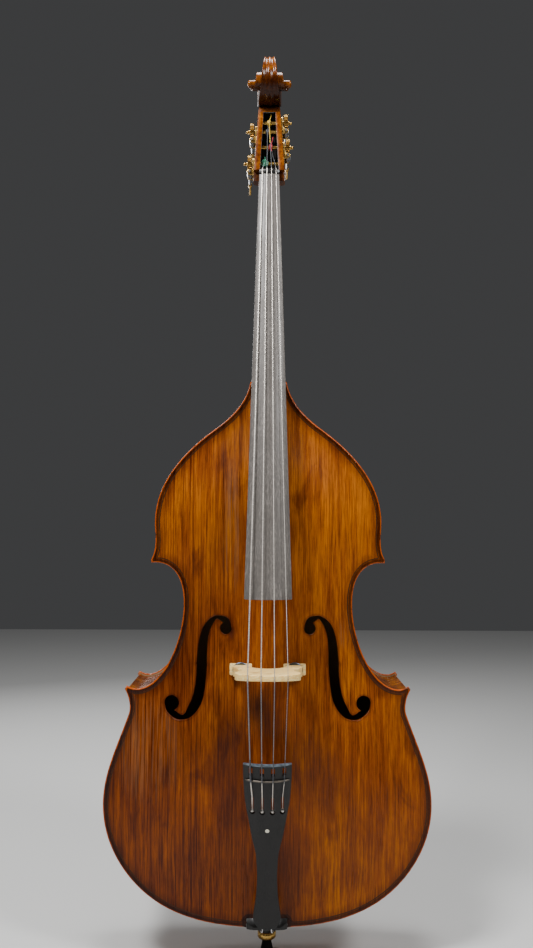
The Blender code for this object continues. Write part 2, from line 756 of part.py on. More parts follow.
def build_neck():
    obj = place("neck", loft(neck_rings()), "maple")
    front = [(y, z) for z, y in (PEGBOX_LOW, PEGBOX_HIGH)]
    profile = [(0.0566, 1.560), (0.0566, PEGBOX_LOW[0])] + front + [
        (0.096, 1.752), (0.110, 1.770), (0.138, 1.770), (0.143, 1.735), (0.132, 1.680),
        (0.118, 1.625), (0.105, 1.590), (0.094, 1.572), (0.080, 1.560)]
    pegbox = tool(widened(slab([profile], -1, 1, "YZ"), PEGBOX_HALF))
    turns = [(0, 0.0488), (0.0095, 0.0480), (0.016, 0.030), (0.030, 0.028), (0.034, 0.015), (0.060, 0.013)]
    turns += [(radius, -half) for radius, half in reversed(turns)]
    middle = (0, *SCROLL_CENTRE)
    scroll = turned("scroll", turns, "maple", middle, (0, math.pi / 2, 0), steps=24, parts=False)
    rear = back_edge(BODY_LENGTH)
    tenon = tool(box((-0.0285, PLATE_EDGE + 2 * GAP, NECK_BLOCK[1] + GAP),
                     (0.0285, rear - GAP, BODY_LENGTH + 0.004)))
    cavity = [(0.020, 1.5828), (0.0735, 1.731), (0.132, 1.731), (0.121, 1.680), (0.109, 1.630),
              (0.096, 1.603), (0.076, 1.5828)]
    hollow = tool(widened(slab([cavity], -1, 1, "YZ"), CAVITY_HALF))
    join(obj, pegbox, scroll, tenon)
    cut(obj, hollow)
    for name in STRING_NAMES:
        y, z, _ = roller_place(name)
        cut(obj, tool(cylinder(ROLLER_RADIUS + GAP, 0.12, 16, "X"), (0, y, z)))


# ---------------------------------------------------------------- tuning machines
def gear_mesh():
    tooth_shape = ((-0.34, GEAR_ROOT), (-0.16, GEAR_RADIUS), (0.16, GEAR_RADIUS), (0.34, GEAR_ROOT))
    loop = []
    for tooth in range(GEAR_TEETH):
        for part_of, radius in tooth_shape:
            angle = 2 * math.pi * (tooth + part_of) / GEAR_TEETH
            loop.append((radius * math.cos(angle), radius * math.sin(angle)))
    hub = [((ROLLER_RADIUS + GAP) * math.cos(a), (ROLLER_RADIUS + GAP) * math.sin(a))
           for a in (2 * math.pi * i / 12 for i in range(12))]
    return slab([loop, hub], -GEAR_WIDTH / 2, GEAR_WIDTH / 2, "YZ")


def plate_rim(y, z):
    """The machine's base plate: rounded over the gear, narrower round the worm."""
    angles = [math.pi * i / 6 for i in range(7)]
    top = [(y + 0.0135 * math.cos(a), z + 0.0135 * math.sin(a)) for a in angles]
    return top + [(y - 0.019, z - WORM_DROP + 0.008), (y - 0.019, z - WORM_DROP - 0.008),
                  (y + 0.019, z - WORM_DROP - 0.008), (y + 0.019, z - WORM_DROP + 0.008)]


def build_machine(name):
    """One tuner: base plate, gear, roller and worm with its key."""
    y, z, side = roller_place(name)
    worm_z = z - WORM_DROP
    foot = pegbox_side(worm_z - 0.008) + GAP
    axis_x = foot + WORM_OFFSET

    base = slab([plate_rim(y, z)], 0.0, 0.001, "YZ")
    for vertex in base.vertices:
        vertex.co.x = foot + 0.002 if vertex.co.x > 0.0005 else pegbox_side(vertex.co.z) + GAP
        vertex.co.x *= side
    if side < 0:
        base.flip_normals()
    base.update()
    obj = place("machine_plate_" + name, base, "brass")
    for way in (-1, 1):
        low = (foot + 0.001, y + way * 0.0155 - 0.002, worm_z - 0.006)
        high = (axis_x + 0.0055, y + way * 0.0155 + 0.002, worm_z + 0.006)
        ends = sorted((side * low[0], side * high[0]))
        join(obj, tool(box((ends[0], *low[1:]), (ends[1], *high[1:]))))
    cut(obj, tool(cylinder(SHAFT_RADIUS + GAP, 0.06, 12, "Y"), (side * axis_x, y, worm_z)))
    cut(obj, tool(cylinder(ROLLER_RADIUS + GAP, 0.05, 16, "X"), (side * foot, y, z)))

    place("gear_" + name, gear_mesh(), "brass", (side * axis_x, y, z))

    far_end = -(pegbox_side(z) - 0.0025)
    end = axis_x + GEAR_WIDTH / 2
    profile = [(0, end + 0.0095), (0.0025, end + 0.009), (0.0035, end + 0.0065), (0.0025, end + 0.004),
               (0.0045, end + 0.0035), (ROLLER_RADIUS, end + 0.0005), (ROLLER_RADIUS, far_end), (0, far_end)]
    turn = (0, math.pi / 2, 0) if side > 0 else (0, -math.pi / 2, 0)
    turned("roller_" + name, profile, "brass", (0, y, z), turn, steps=14)

    shaft = [(0, 0.0215), (SHAFT_RADIUS, 0.0210), (SHAFT_RADIUS, 0.0125), (WORM_CORE, 0.0125),
             (WORM_CORE, -0.0125), (SHAFT_RADIUS, -0.0125), (SHAFT_RADIUS, -KEY_REACH),
             (0.0045, -KEY_REACH - 0.002), (0.0045, -KEY_REACH - 0.012), (0, -KEY_REACH - 0.012)]
    worm = turned("worm_" + name, shaft, "steel", (side * axis_x, y, worm_z), (math.pi / 2, 0, 0), steps=12)
    wing = [(-0.0045, -KEY_REACH - 0.004), (-0.013, -KEY_REACH - 0.009), (-0.0165, -KEY_REACH - 0.018),
            (-0.013, -KEY_REACH - 0.027), (-0.006, -KEY_REACH - 0.031), (0.0, -KEY_REACH - 0.029)]
    loop = wing + [(-x, h) for x, h in reversed(wing[:-1])]
    blade = slab([loop], -0.0022, 0.0022, "YZ")
    join(worm, tool(blade, (side * axis_x, y, worm_z), (math.pi / 2, 0, 0)))


def build_winding(name):
    """The turns of string and silk round a roller."""
    y, z, _ = roller_place(name)
    inner = ROLLER_RADIUS + GAP
    outer = inner + 2 * STRING_RADIUS[name]
    half = 2.2 * STRING_RADIUS[name] + 0.0018
    profile = [(outer, half), (outer, -half), (inner, -half), (inner, half)]
    turned("winding_" + name, profile, "silk_" + name, (MACHINES[name][3], y, z), (0, math.pi / 2, 0),
           steps=14, closed=True)
    return outer


# ---------------------------------------------------------------- bridge
def crown_top(x):
    """Height of the bridge's crown over the plate edge plane."""
    return BRIDGE_TOP - (CROWN_RADIUS - math.sqrt(CROWN_RADIUS ** 2 - x * x))


def build_bridge():
    leg = WHEEL[1] + GAP
    half = millimetres((38.5, 0), (35, 20), (24, 36), (10, 43.5), (0, 45))
    arch_side = [(x, leg + h) for x, h in half]
    flank = [(0.0640, leg), (0.0695, 0.063), (0.0712, 0.073), (0.0680, 0.084), (0.060, 0.096),
             (0.0505, 0.110), (0.052, 0.126), (0.060, 0.141), (0.0625, 0.154), (0.059, crown_top(0.059))]
    crown = [(x, crown_top(x)) for x in (0.045, 0.030, 0.015, 0.0)]
    right = list(reversed(arch_side)) + flank + crown
    loop = [(x, -h) for x, h in right + [(-x, h) for x, h in reversed(right[1:-1])]]
    mesh = slab([loop], *BRIDGE_Z, "XY")
    for vertex in mesh.vertices:
        if vertex.co.z < sum(BRIDGE_Z) / 2:
            vertex.co.z += 0.011 * share(-vertex.co.y, leg, BRIDGE_TOP)
    crown_obj = place("bridge_crown", mesh, "bridge_maple")

    middle = sum(BRIDGE_Z) / 2
    for side, word in ((-1, "bass"), (1, "treble")):
        rings = []
        for step in range(-2, 3):
            x = side * FOOT_X + step * 0.0111
            front = -WHEEL[0] + GAP
            sole = [(x, top_surface(x, z) - 0.0009, z) for z in BRIDGE_Z]
            rings.append(sole + [(x, front, BRIDGE_Z[1]), (x, front, BRIDGE_Z[0])])
        obj = place("bridge_foot_" + word, loft(rings), "bridge_maple")
        cut(obj, tool(cylinder(POST_RADIUS + GAP, 0.020, 14, "Y"), (side * FOOT_X, -WHEEL[0], middle)))
        cut(crown_obj, tool(cylinder(POST_RADIUS + GAP, 0.080, 14, "Y"), (side * FOOT_X, -leg, middle)))
        thick = WHEEL[1] - WHEEL[0]
        post, rim = POST_RADIUS, 0.016
        wheel = [(post, thick), (rim - 0.0008, thick), (rim, thick - 0.001), (rim, 0.001), (rim - 0.0008, 0)]
        profile = [(0, 0.036), (post - 0.0005, 0.036), (post, 0.035)] + wheel
        profile += [(post, 0), (post, -0.009), (0, -0.009)]
        turned("bridge_adjuster_" + word, profile, "aluminium", (side * FOOT_X, -WHEEL[0], middle),
               (math.pi / 2, 0, 0), steps=16)


# ---------------------------------------------------------------- tailpiece, saddle and tail wire
def tail_front(x):
    """Front of the tailpiece in its own frame, which bulges along its middle."""
    return -0.006 + x * x / (2 * TAIL_RADIUS)


def tail_point(x, n, s):
    """A point of the tailpiece's own frame, in the body frame."""
    c, d = math.cos(TAIL_ANGLE), math.sin(TAIL_ANGLE)
    return (x, TAIL_FOOT[0] + n * c - s * d, TAIL_FOOT[1] + n * d + s * c)


def keyhole(x):
    """A round hole for a string's ball with a slot running up from it."""
    angles = [math.radians(115 + 310 * i / 9) for i in range(10)]
    hole = [(x + 0.0052 * math.cos(a), SLOT[0] + 0.0052 * math.sin(a)) for a in angles]
    return hole + [(x + 0.0024, SLOT[1]), (x - 0.0024, SLOT[1])]


def build_tailpiece():
    stations = ((0.000, 0.0134), (0.006, 0.0205), (0.0215, 0.0277), (0.053, 0.0244), (0.078, 0.0217),
                (0.121, 0.0200), (0.160, 0.0213), (0.180, 0.0236), (0.212, 0.0305), (0.251, 0.0371),
                (0.284, 0.0425), (0.321, 0.0456), (TAIL_LENGTH, 0.0466))
    rings = []
    for s, half in stations:
        xs = [half * k / 3 for k in range(-3, 4)]
        front = [(x, tail_front(x), s) for x in xs]
        back = [(x, tail_front(x) + TAIL_THICKNESS * (1 - 0.3 * (x / half) ** 2), s)
                for x in (half, 0, -half)]
        rings.append(front + back)
    turn = (TAIL_ANGLE, 0, 0)
    origin = (0, *TAIL_FOOT)
    obj = place("tailpiece", loft(rings), "ebony", origin, turn)
    for name in STRING_NAMES:
        x, end = TAIL_SPACING[name], BALL_SPACING[name]
        cut(obj, tool(box((x - 0.0035, -0.02, 0.3445), (x + 0.0035, 0.03, 0.3610)), origin, turn))
        cut(obj, tool(slab([keyhole(end)], -0.02, 0.03, "XZ"), origin, turn))
    xs = [0.0425 * k / 5 for k in range(-5, 6)]
    points = [tail_point(x, tail_front(x) - 0.0023, FRET_AT) for x in xs]
    place("tailpiece_fret", tube(points, 0.0019), "steel")


def build_saddle():
    front, rear = -0.0100, PLATE_EDGE
    loop = [(-0.041, rear), (-0.041, -0.004), (-0.022, front), (0.022, front), (0.041, -0.004),
            (0.041, rear)]
    place("saddle", slab([loop], -0.0006, 0.0189, "XY"), "ebony")


def build_tail_wire():
    """A steel cable from the tailpiece over the saddle and round the endpin plug."""
    y = ENDPIN_Y
    radius = 0.0183
    side = [(0.0085, -0.0145, 0.0260), (0.0087, -0.0138, 0.0170), (0.0090, -0.0125, 0.0040),
            (0.0095, -0.0120, -0.0025), (0.0105, -0.0085, -0.0055), (0.0120, 0.000, -0.0062),
            (0.0150, 0.040, -0.0062)]
    loop = [(radius * math.sin(a), y - radius * math.cos(a), -0.0062)
            for a in (math.radians(80 + 200 * i / 8) for i in range(9))]
    points = side + loop + [(-x, py, pz) for x, py, pz in reversed(side)]
    place("tail_wire", tube(points, 0.0013), "steel")


# ---------------------------------------------------------------- endpin
def build_endpin():
    """Plug, collar, sliding rod, rubber tip and clamp screw."""
    bore = PLUG_BORE
    top = END_BLOCK_TOP + 0.004
    profile = [(bore, top), (PLUG_SHANK, top), (PLUG_SHANK, 0.0042), (0.022, 0.0042), (0.022, -0.0030),
               (0.0165, -0.0042), (0.0165, -0.0086), (0.0205, -0.0100), (0.0185, -0.0452), (bore, -0.0452)]
    turned("endpin_plug", profile, "ebony", (0, ENDPIN_Y, 0), closed=True, steps=18)

    collar_top, collar_low = -0.0455, -0.0600
    profile = [(bore, collar_top), (0.019, collar_top), (0.0195, collar_top - 0.002),
               (0.0195, collar_low + 0.002), (0.018, collar_low), (bore, collar_low)]
    collar = turned("endpin_collar", profile, "brass", (0, ENDPIN_Y, 0), closed=True, steps=18)
    screw_z = (collar_top + collar_low) / 2
    cut(collar, tool(cylinder(0.0033, 0.03, 14, "Y"), (0, ENDPIN_Y + 0.020, screw_z)))

    tip_top = 0.022 - FLOOR_TO_BODY
    rod_low = tip_top - 0.010
    rod_top = 0.300
    profile = [(0, rod_top), (0.004, rod_top), (ENDPIN_RADIUS, rod_top - 0.002), (ENDPIN_RADIUS, rod_low),
               (0, rod_low)]
    turned("endpin_rod", profile, "steel", (0, ENDPIN_Y, 0), steps=20)
    floor, hole = -FLOOR_TO_BODY, ENDPIN_RADIUS + GAP
    profile = [(hole, tip_top - GAP), (0.0085, tip_top - GAP), (0.0095, tip_top - 0.003),
               (0.0125, floor + 0.003), (0.0115, floor), (0, floor), (0, rod_low - GAP),
               (hole, rod_low - GAP)]
    turned("endpin_tip", profile, "rubber", (0, ENDPIN_Y, 0), closed=True, steps=20)
    profile = [(0, 0.0420), (0.0065, 0.0420), (0.0075, 0.0410), (0.0075, 0.0290), (0.0065, 0.0280),
               (0.003, 0.0280), (0.003, 0.0058), (0, 0.0058)]
    turned("endpin_screw", profile, "brass", (0, ENDPIN_Y, screw_z), (-math.pi / 2, 0, 0), steps=16)


# ---------------------------------------------------------------- strings
def build_string(name, winding):
    """One string, taut from its roller over the nut and the bridge to its ball in the tailpiece."""
    r = STRING_RADIUS[name]
    lift = r + GAP
    y, z, _ = roller_place(name)
    nut_x, bridge_x = NUT_SPACING[name], BRIDGE_SPACING[name]
    tail_x, ball_x = TAIL_SPACING[name], BALL_SPACING[name]
    nut_y = nut_top(nut_x) - lift
    bridge_y = -crown_top(bridge_x) - lift
    fret_n = tail_front(tail_x) - 0.0042 - lift
    points = [(MACHINES[name][3], y - winding - lift, z),
              (nut_x, nut_y + 0.0006, BOARD_TOP + 0.0110), (nut_x, nut_y - 0.0001, BOARD_TOP + 0.0095),
              (nut_x, nut_y - 0.0001, BOARD_TOP + 0.0008),
              (bridge_x, bridge_y - 0.0002, BRIDGE_Z[1] + 0.0006),
              (bridge_x, bridge_y - 0.0002, BRIDGE_Z[0] + 0.0100),
              tail_point(tail_x, fret_n, FRET_AT),
              tail_point(ball_x, tail_front(ball_x) - lift - GAP, SLOT[1] + 0.001),
              tail_point(ball_x, tail_front(ball_x) + 0.0035, SLOT[0] + 0.008),
              tail_point(ball_x, tail_front(ball_x) + 0.0050, SLOT[0])]
    obj = place("string_" + name, tube(points, r), "string_steel")
    join(obj, tool(ball(0.0040), points[-1]))


# ---------------------------------------------------------------- assembly
clear_scene()
PARTS = new_collection("double_bass")
CUTTERS = new_collection("cutters")
BODY = bpy.data.objects.new("body_frame", None)
BODY.location = (0, -ENDPIN_Y, FLOOR_TO_BODY)
PARTS.objects.link(BODY)
OUTLINE = body_outline()

build_plates()
build_ribs()
build_blocks()
build_linings()
build_bar_and_post()
build_fingerboard()
build_nut()
build_neck()
build_bridge()
build_saddle()
build_tailpiece()
build_tail_wire()
build_endpin()
for string in STRING_NAMES:
    build_machine(string)
    build_string(string, build_winding(string))
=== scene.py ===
"""The looks of a three-quarter size double bass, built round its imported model.

Pieces are shaped in the body frame, in metres: x to the treble side, y from the front plate's edge
plane to the back, z up from the lowest edge of the plates. piece() moves them into the row frame.
"""
import json
import math

import bmesh
import bpy
import numpy as np
from mathutils import Matrix, Vector
from mathutils.geometry import delaunay_2d_cdt


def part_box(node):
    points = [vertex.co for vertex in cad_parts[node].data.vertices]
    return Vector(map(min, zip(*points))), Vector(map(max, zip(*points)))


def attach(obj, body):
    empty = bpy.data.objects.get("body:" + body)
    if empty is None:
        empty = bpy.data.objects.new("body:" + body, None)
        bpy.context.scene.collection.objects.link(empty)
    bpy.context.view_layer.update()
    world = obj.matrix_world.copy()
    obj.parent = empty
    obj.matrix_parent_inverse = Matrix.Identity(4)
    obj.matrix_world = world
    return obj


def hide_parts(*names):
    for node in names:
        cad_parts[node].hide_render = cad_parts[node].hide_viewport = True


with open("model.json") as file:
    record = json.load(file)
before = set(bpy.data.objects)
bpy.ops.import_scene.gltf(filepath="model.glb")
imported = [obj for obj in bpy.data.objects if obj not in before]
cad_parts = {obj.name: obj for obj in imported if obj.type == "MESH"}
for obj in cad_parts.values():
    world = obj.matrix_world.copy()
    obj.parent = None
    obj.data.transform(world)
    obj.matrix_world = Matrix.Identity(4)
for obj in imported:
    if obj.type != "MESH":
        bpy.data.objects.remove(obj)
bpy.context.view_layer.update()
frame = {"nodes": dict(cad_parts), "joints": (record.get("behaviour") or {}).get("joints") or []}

JOINTS = {joint["name"]: joint for joint in frame["joints"]}
STRINGS = ("e", "a", "d", "g")

# ---------------------------------------------------------------- dimensions shared with the frame
GAP = 0.0003
PLATE_EDGE = 0.006
TOP_ARCH = 0.033
BACK_ARCH = 0.036
OVERHANG = 0.005
RIB_THICKNESS = 0.0022
RIB_DEPTH = 0.186
RIB_TAPER = 0.036
TAPER_START = 0.60
ENDPIN_Y = PLATE_EDGE + GAP + RIB_DEPTH / 2
PLUG_HOLE = 0.0153
BODY_LENGTH = 1.111
NUT_HEIGHT = 1.576
BOARD_TOP = 1.5707
BOARD_END = 0.670
BOARD_WIDTH = (0.0436, 0.0925)
BOARD_RADIUS = (0.060, 0.068)
BRIDGE_Z = (0.5125, 0.534)
BRIDGE_TOP = 0.190
CROWN_RADIUS = 0.0845
CROWN_HALF = 0.059
FOOT_X = 0.054
WHEEL = (0.0480, 0.0550)
TAIL_FOOT = (-0.0215, 0.010)
TAIL_ANGLE = math.radians(18.0)
TAIL_THICKNESS = 0.010
TAIL_RADIUS = 0.115
TAIL_LENGTH = 0.366
FRET_AT = 0.335
SLOT = (0.266, 0.2985)
STRING_RADIUS = {"e": 0.0014, "a": 0.0011, "d": 0.0009, "g": 0.0007}
NUT_SPACING = {"e": -0.0147, "a": -0.0050, "d": 0.0050, "g": 0.0147}
BRIDGE_SPACING = {"e": -0.0375, "a": -0.0125, "d": 0.0125, "g": 0.0375}
TAIL_SPACING = {"e": -0.0320, "a": -0.0105, "d": 0.0105, "g": 0.0320}
BALL_SPACING = {"e": -0.0291, "a": -0.0099, "d": 0.0099, "g": 0.0291}
WINDING_X = {"e": -0.0100, "a": -0.0040, "d": -0.0006, "g": 0.0028}
ROLLER_RADIUS = 0.0045
GEAR_TEETH = 26
GEAR_RADIUS = 0.0188
GEAR_ROOT = 0.0168
GEAR_WIDTH = 0.0083
WORM_CORE = 0.0038
WORM_RADIUS = 0.0057
WORM_HALF = 0.0125
SHAFT_RADIUS = 0.0028
KEY_REACH = 0.064
PEGBOX_LOW = (1.5816, 0.0480)
PEGBOX_HIGH = (1.735, 0.0950)
PEGBOX_HALF = (0.0335, 0.0245)
CAVITY_HALF = (0.0203, 0.0130)
SCROLL_CENTRE = (0.100, 1.797)

# ---------------------------------------------------------------- fineness of the meshes
OUTLINE_STEP = 0.0045
PLATE_STEP = 0.0085

BASE = Vector((0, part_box("lower_rib_treble")[0].y - PLATE_EDGE - GAP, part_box("back_plate")[0].z))


# ---------------------------------------------------------------- small tools
def mix(a, b, t):
    return a + (b - a) * t


def share(value, low, high):
    return min(1.0, max(0.0, (value - low) / (high - low)))


def ease(t):
    return t * t * (3 - 2 * t)


def joint_centre(name):
    """Where a joint's axis passes, in the body frame."""
    return Vector(JOINTS[name]["pos_m"]) - BASE


def through(points, steps):
    """A smooth path through points of any dimension, by Catmull-Rom."""
    knots = [tuple(2 * a - b for a, b in zip(points[0], points[1]))] + list(points)
    knots.append(tuple(2 * a - b for a, b in zip(points[-1], points[-2])))
    path = [tuple(points[0])]
    for p0, p1, p2, p3 in zip(knots, knots[1:], knots[2:], knots[3:]):
        for i in range(1, steps + 1):
            t = i / steps
            path.append(tuple(
                0.5 * (2 * b + (c - a) * t + (2 * a - 5 * b + 4 * c - d) * t * t
                       + (3 * b - a - 3 * c + d) * t ** 3)
                for a, b, c, d in zip(p0, p1, p2, p3)))
    return path


def table(pairs):
    """A smooth function through (input, output) pairs."""
    xs, ys = zip(*through(pairs, 8))
    return lambda value: float(np.interp(value, xs, ys))


def settled(bm, angle=35, merge=1e-6):
    """The finished mesh of a bmesh: doubles merged, normals outwards, smooth but for its edges."""
    if merge:
        bmesh.ops.remove_doubles(bm, verts=bm.verts, dist=merge)
    bmesh.ops.recalc_face_normals(bm, faces=bm.faces)
    mesh = bpy.data.meshes.new("shape")
    bm.to_mesh(mesh)
    bm.free()
    mesh.shade_smooth()
    mesh.set_sharp_from_angle(angle=math.radians(angle))
    return mesh


def piece(name, mesh, finish, body="body", stands_for=()):
    """Puts a mesh shaped in the body frame in its place as a named piece of the bass."""
    mesh.transform(Matrix.Translation(BASE))
    obj = bpy.data.objects.new(name, mesh)
    bpy.context.scene.collection.objects.link(obj)
    mesh.materials.clear()
    mesh.materials.append(finish)
    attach(obj, body)
    if stands_for:
        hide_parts(*stands_for)
    return obj


def skin(rings, looped=False, angle=35):
    """A skin over rings of equal point counts, capped at both ends unless the rings form a loop."""
    bm = bmesh.new()
    rows = [[bm.verts.new(point) for point in ring] for ring in rings]
    count = len(rows[0])
    pairs = list(zip(rows, rows[1:])) + ([(rows[-1], rows[0])] if looped else [])
    for low, high in pairs:
        for i in range(count):
            j = (i + 1) % count
            bm.faces.new((low[i], low[j], high[j], high[i]))
    if not looped:
        bm.faces.new(list(reversed(rows[0])))
        bm.faces.new(rows[-1])
    return settled(bm, angle)


def turned(profile, centre, axis="Z", steps=32, closed=False, angle=35):
    """A profile of (radius, height) points turned about an axis through a centre."""
    lay = {"X": lambda r, c, s, h: (h, r * c, r * s),
           "Y": lambda r, c, s, h: (r * s, h, r * c),
           "Z": lambda r, c, s, h: (r * c, r * s, h)}[axis]
    bm = bmesh.new()
    rows = []
    for radius, height in profile:
        turn = [2 * math.pi * i / steps for i in range(steps)]
        rows.append([bm.verts.new(Vector(centre) + Vector(lay(radius, math.cos(a), math.sin(a), height)))
                     for a in turn])
    for low, high in list(zip(rows, rows[1:])) + ([(rows[-1], rows[0])] if closed else []):
        for i in range(steps):
            j = (i + 1) % steps
            bm.faces.new((low[i], low[j], high[j], high[i]))
    if not closed:
        for row, (radius, _) in ((rows[0], profile[0]), (rows[-1], profile[-1])):
            if radius > 0:
                bm.faces.new(row)
    bmesh.ops.remove_doubles(bm, verts=bm.verts, dist=1e-6)
    bmesh.ops.dissolve_degenerate(bm, edges=bm.edges, dist=1e-7)
    return settled(bm, angle, 0)


def drill(radius, reach, centre, axis):
    """A round cutter that reaches this far to both sides of a centre."""
    return turned([(radius, reach), (radius, -reach)], centre, axis, 24)


def sweep(points, section, up=None, closed=False, scale=None):
    """A flat section carried along a path. up is one direction or one for each point."""
    path = [Vector(p) for p in points]
    count = len(path)
    rings = []
    side = None
    for i, p in enumerate(path):
        before = path[i - 1] if i or closed else path[0]
        after = path[(i + 1) % count] if i < count - 1 or closed else path[-1]
        along = (after - before).normalized()
        if up is not None:
            lift = Vector(up[i] if isinstance(up, list) else up)
            side = along.cross(lift).normalized()
        elif side is None:
            side = along.orthogonal().normalized()
        else:
            side = (side - along * side.dot(along)).normalized()
        rise = side.cross(along)
        size = scale(i / (count - 1)) if scale else 1.0
        rings.append([p + side * (a * size) + rise * (b * size) for a, b in section])
    return skin(rings, closed, 50)


def circle(radius, sides):
    return [(radius * math.cos(2 * math.pi * i / sides), radius * math.sin(2 * math.pi * i / sides))
            for i in range(sides)]


def prism(loop, low, high, plane, bevel=0.0, segments=2):
    """A flat loop pushed from low to high, its rims rounded. XZ runs along Y, YZ along X, XY along Z."""
    lay = {"XZ": lambda a, b, c: (a, c, b), "YZ": lambda a, b, c: (c, a, b), "XY": lambda a, b, c: (a, b, c)}
    bm = bmesh.new()
    near = [bm.verts.new(lay[plane](a, b, low)) for a, b in loop]
    far = [bm.verts.new(lay[plane](a, b, high)) for a, b in loop]
    count = len(loop)
    for i in range(count):
        j = (i + 1) % count
        bm.faces.new((near[i], near[j], far[j], far[i]))
    caps = [bm.faces.new(list(reversed(near))), bm.faces.new(far)]
    bmesh.ops.recalc_face_normals(bm, faces=bm.faces)
    if bevel:
        rims = [edge for face in caps for edge in face.edges]
        bmesh.ops.bevel(bm, geom=rims, offset=bevel, segments=segments, profile=0.5, affect="EDGES",
                        clamp_overlap=True)
    return settled(bm)


def carved(mesh, cutters):
    """A mesh with others cut out of it."""
    obj = bpy.data.objects.new("stock", mesh)
    bpy.context.scene.collection.objects.link(obj)
    helpers = []
    for cutter in cutters:
        other = bpy.data.objects.new("tool", cutter)
        bpy.context.scene.collection.objects.link(other)
        helpers.append(other)
        step = obj.modifiers.new("cut", "BOOLEAN")
        step.operation = "DIFFERENCE"
        step.solver = "EXACT"
        step.object = other
    graph = bpy.context.evaluated_depsgraph_get()
    made = bpy.data.meshes.new_from_object(obj.evaluated_get(graph))
    for used in [obj] + helpers:
        bpy.data.objects.remove(used)
    made.shade_smooth()
    made.set_sharp_from_angle(angle=math.radians(35))
    return made


def joined(*meshes):
    """Several meshes as one."""
    bm = bmesh.new()
    for mesh in meshes:
        bm.from_mesh(mesh)
    return settled(bm, 35, 0)


# ---------------------------------------------------------------- repeating shapes, by Geometry Nodes
def new_tree(name, inputs):
    """An empty Geometry Nodes tree with named inputs, and its input and output nodes."""
    tree = bpy.data.node_groups.new(name, "GeometryNodeTree")
    tree.interface.new_socket(name="Geometry", in_out="OUTPUT", socket_type="NodeSocketGeometry")
    for label, kind in inputs:
        tree.interface.new_socket(name=label, in_out="INPUT", socket_type="NodeSocket" + kind)
    return tree, tree.nodes.new("NodeGroupInput"), tree.nodes.new("NodeGroupOutput")


def close_tree(tree, geometry, source, result):
    """Realizes the instances, sets the material and ends the tree."""
    real = tree.nodes.new("GeometryNodeRealizeInstances")
    paint = tree.nodes.new("GeometryNodeSetMaterial")
    tree.links.new(geometry, real.inputs["Geometry"])
    tree.links.new(real.outputs["Geometry"], paint.inputs["Geometry"])
    tree.links.new(source.outputs["Material"], paint.inputs["Material"])
    tree.links.new(paint.outputs["Geometry"], result.inputs["Geometry"])
    return tree


def ring_tree():
    """Copies of a piece round the Z axis, each turned to face outwards: teeth, knurls."""
    inputs = (("Geometry", "Geometry"), ("Count", "Int"), ("Radius", "Float"), ("Piece", "Object"),
              ("Material", "Material"))
    tree, source, result = new_tree("ring of pieces", inputs)
    ring = tree.nodes.new("GeometryNodeMeshCircle")
    thing = tree.nodes.new("GeometryNodeObjectInfo")
    copies = tree.nodes.new("GeometryNodeInstanceOnPoints")
    index = tree.nodes.new("GeometryNodeInputIndex")
    turn = tree.nodes.new("ShaderNodeMath")
    turn.operation = "DIVIDE"
    angle = tree.nodes.new("ShaderNodeMath")
    angle.operation = "MULTIPLY"
    angle.inputs[1].default_value = 2 * math.pi
    spin = tree.nodes.new("ShaderNodeCombineXYZ")
    tree.links.new(source.outputs["Count"], ring.inputs["Vertices"])
    tree.links.new(source.outputs["Radius"], ring.inputs["Radius"])
    tree.links.new(source.outputs["Piece"], thing.inputs["Object"])
    tree.links.new(index.outputs[0], turn.inputs[0])
    tree.links.new(source.outputs["Count"], turn.inputs[1])
    tree.links.new(turn.outputs[0], angle.inputs[0])
    tree.links.new(angle.outputs[0], spin.inputs["Z"])
    tree.links.new(ring.outputs["Mesh"], copies.inputs["Points"])
    tree.links.new(thing.outputs["Geometry"], copies.inputs["Instance"])
    tree.links.new(spin.outputs[0], copies.inputs["Rotation"])
    return close_tree(tree, copies.outputs["Instances"], source, result)


def spots_tree():
    """A copy of a piece on each point of the mesh that carries the tree: screws."""
    inputs = (("Geometry", "Geometry"), ("Piece", "Object"), ("Material", "Material"))
    tree, source, result = new_tree("pieces on points", inputs)
    thing = tree.nodes.new("GeometryNodeObjectInfo")
    copies = tree.nodes.new("GeometryNodeInstanceOnPoints")
    tree.links.new(source.outputs["Geometry"], copies.inputs["Points"])
    tree.links.new(source.outputs["Piece"], thing.inputs["Object"])
    tree.links.new(thing.outputs["Geometry"], copies.inputs["Instance"])
    return close_tree(tree, copies.outputs["Instances"], source, result)


def coil_tree():
    """Turns of wire round the Z axis."""
    inputs = (("Geometry", "Geometry"), ("Radius", "Float"), ("Wire", "Float"), ("Turns", "Float"),
              ("Length", "Float"), ("Material", "Material"))
    tree, source, result = new_tree("turns of wire", inputs)
    spiral = tree.nodes.new("GeometryNodeCurveSpiral")
    spiral.inputs["Resolution"].default_value = 28
    section = tree.nodes.new("GeometryNodeCurvePrimitiveCircle")
    section.inputs["Resolution"].default_value = 8
    skin_node = tree.nodes.new("GeometryNodeCurveToMesh")
    skin_node.inputs["Fill Caps"].default_value = True
    tree.links.new(source.outputs["Radius"], spiral.inputs["Start Radius"])
    tree.links.new(source.outputs["Radius"], spiral.inputs["End Radius"])
    tree.links.new(source.outputs["Turns"], spiral.inputs["Rotations"])
    tree.links.new(source.outputs["Length"], spiral.inputs["Height"])
    tree.links.new(source.outputs["Wire"], section.inputs["Radius"])
    tree.links.new(spiral.outputs["Curve"], skin_node.inputs["Curve"])
    tree.links.new(section.outputs["Curve"], skin_node.inputs["Profile Curve"])
    return close_tree(tree, skin_node.outputs["Mesh"], source, result)


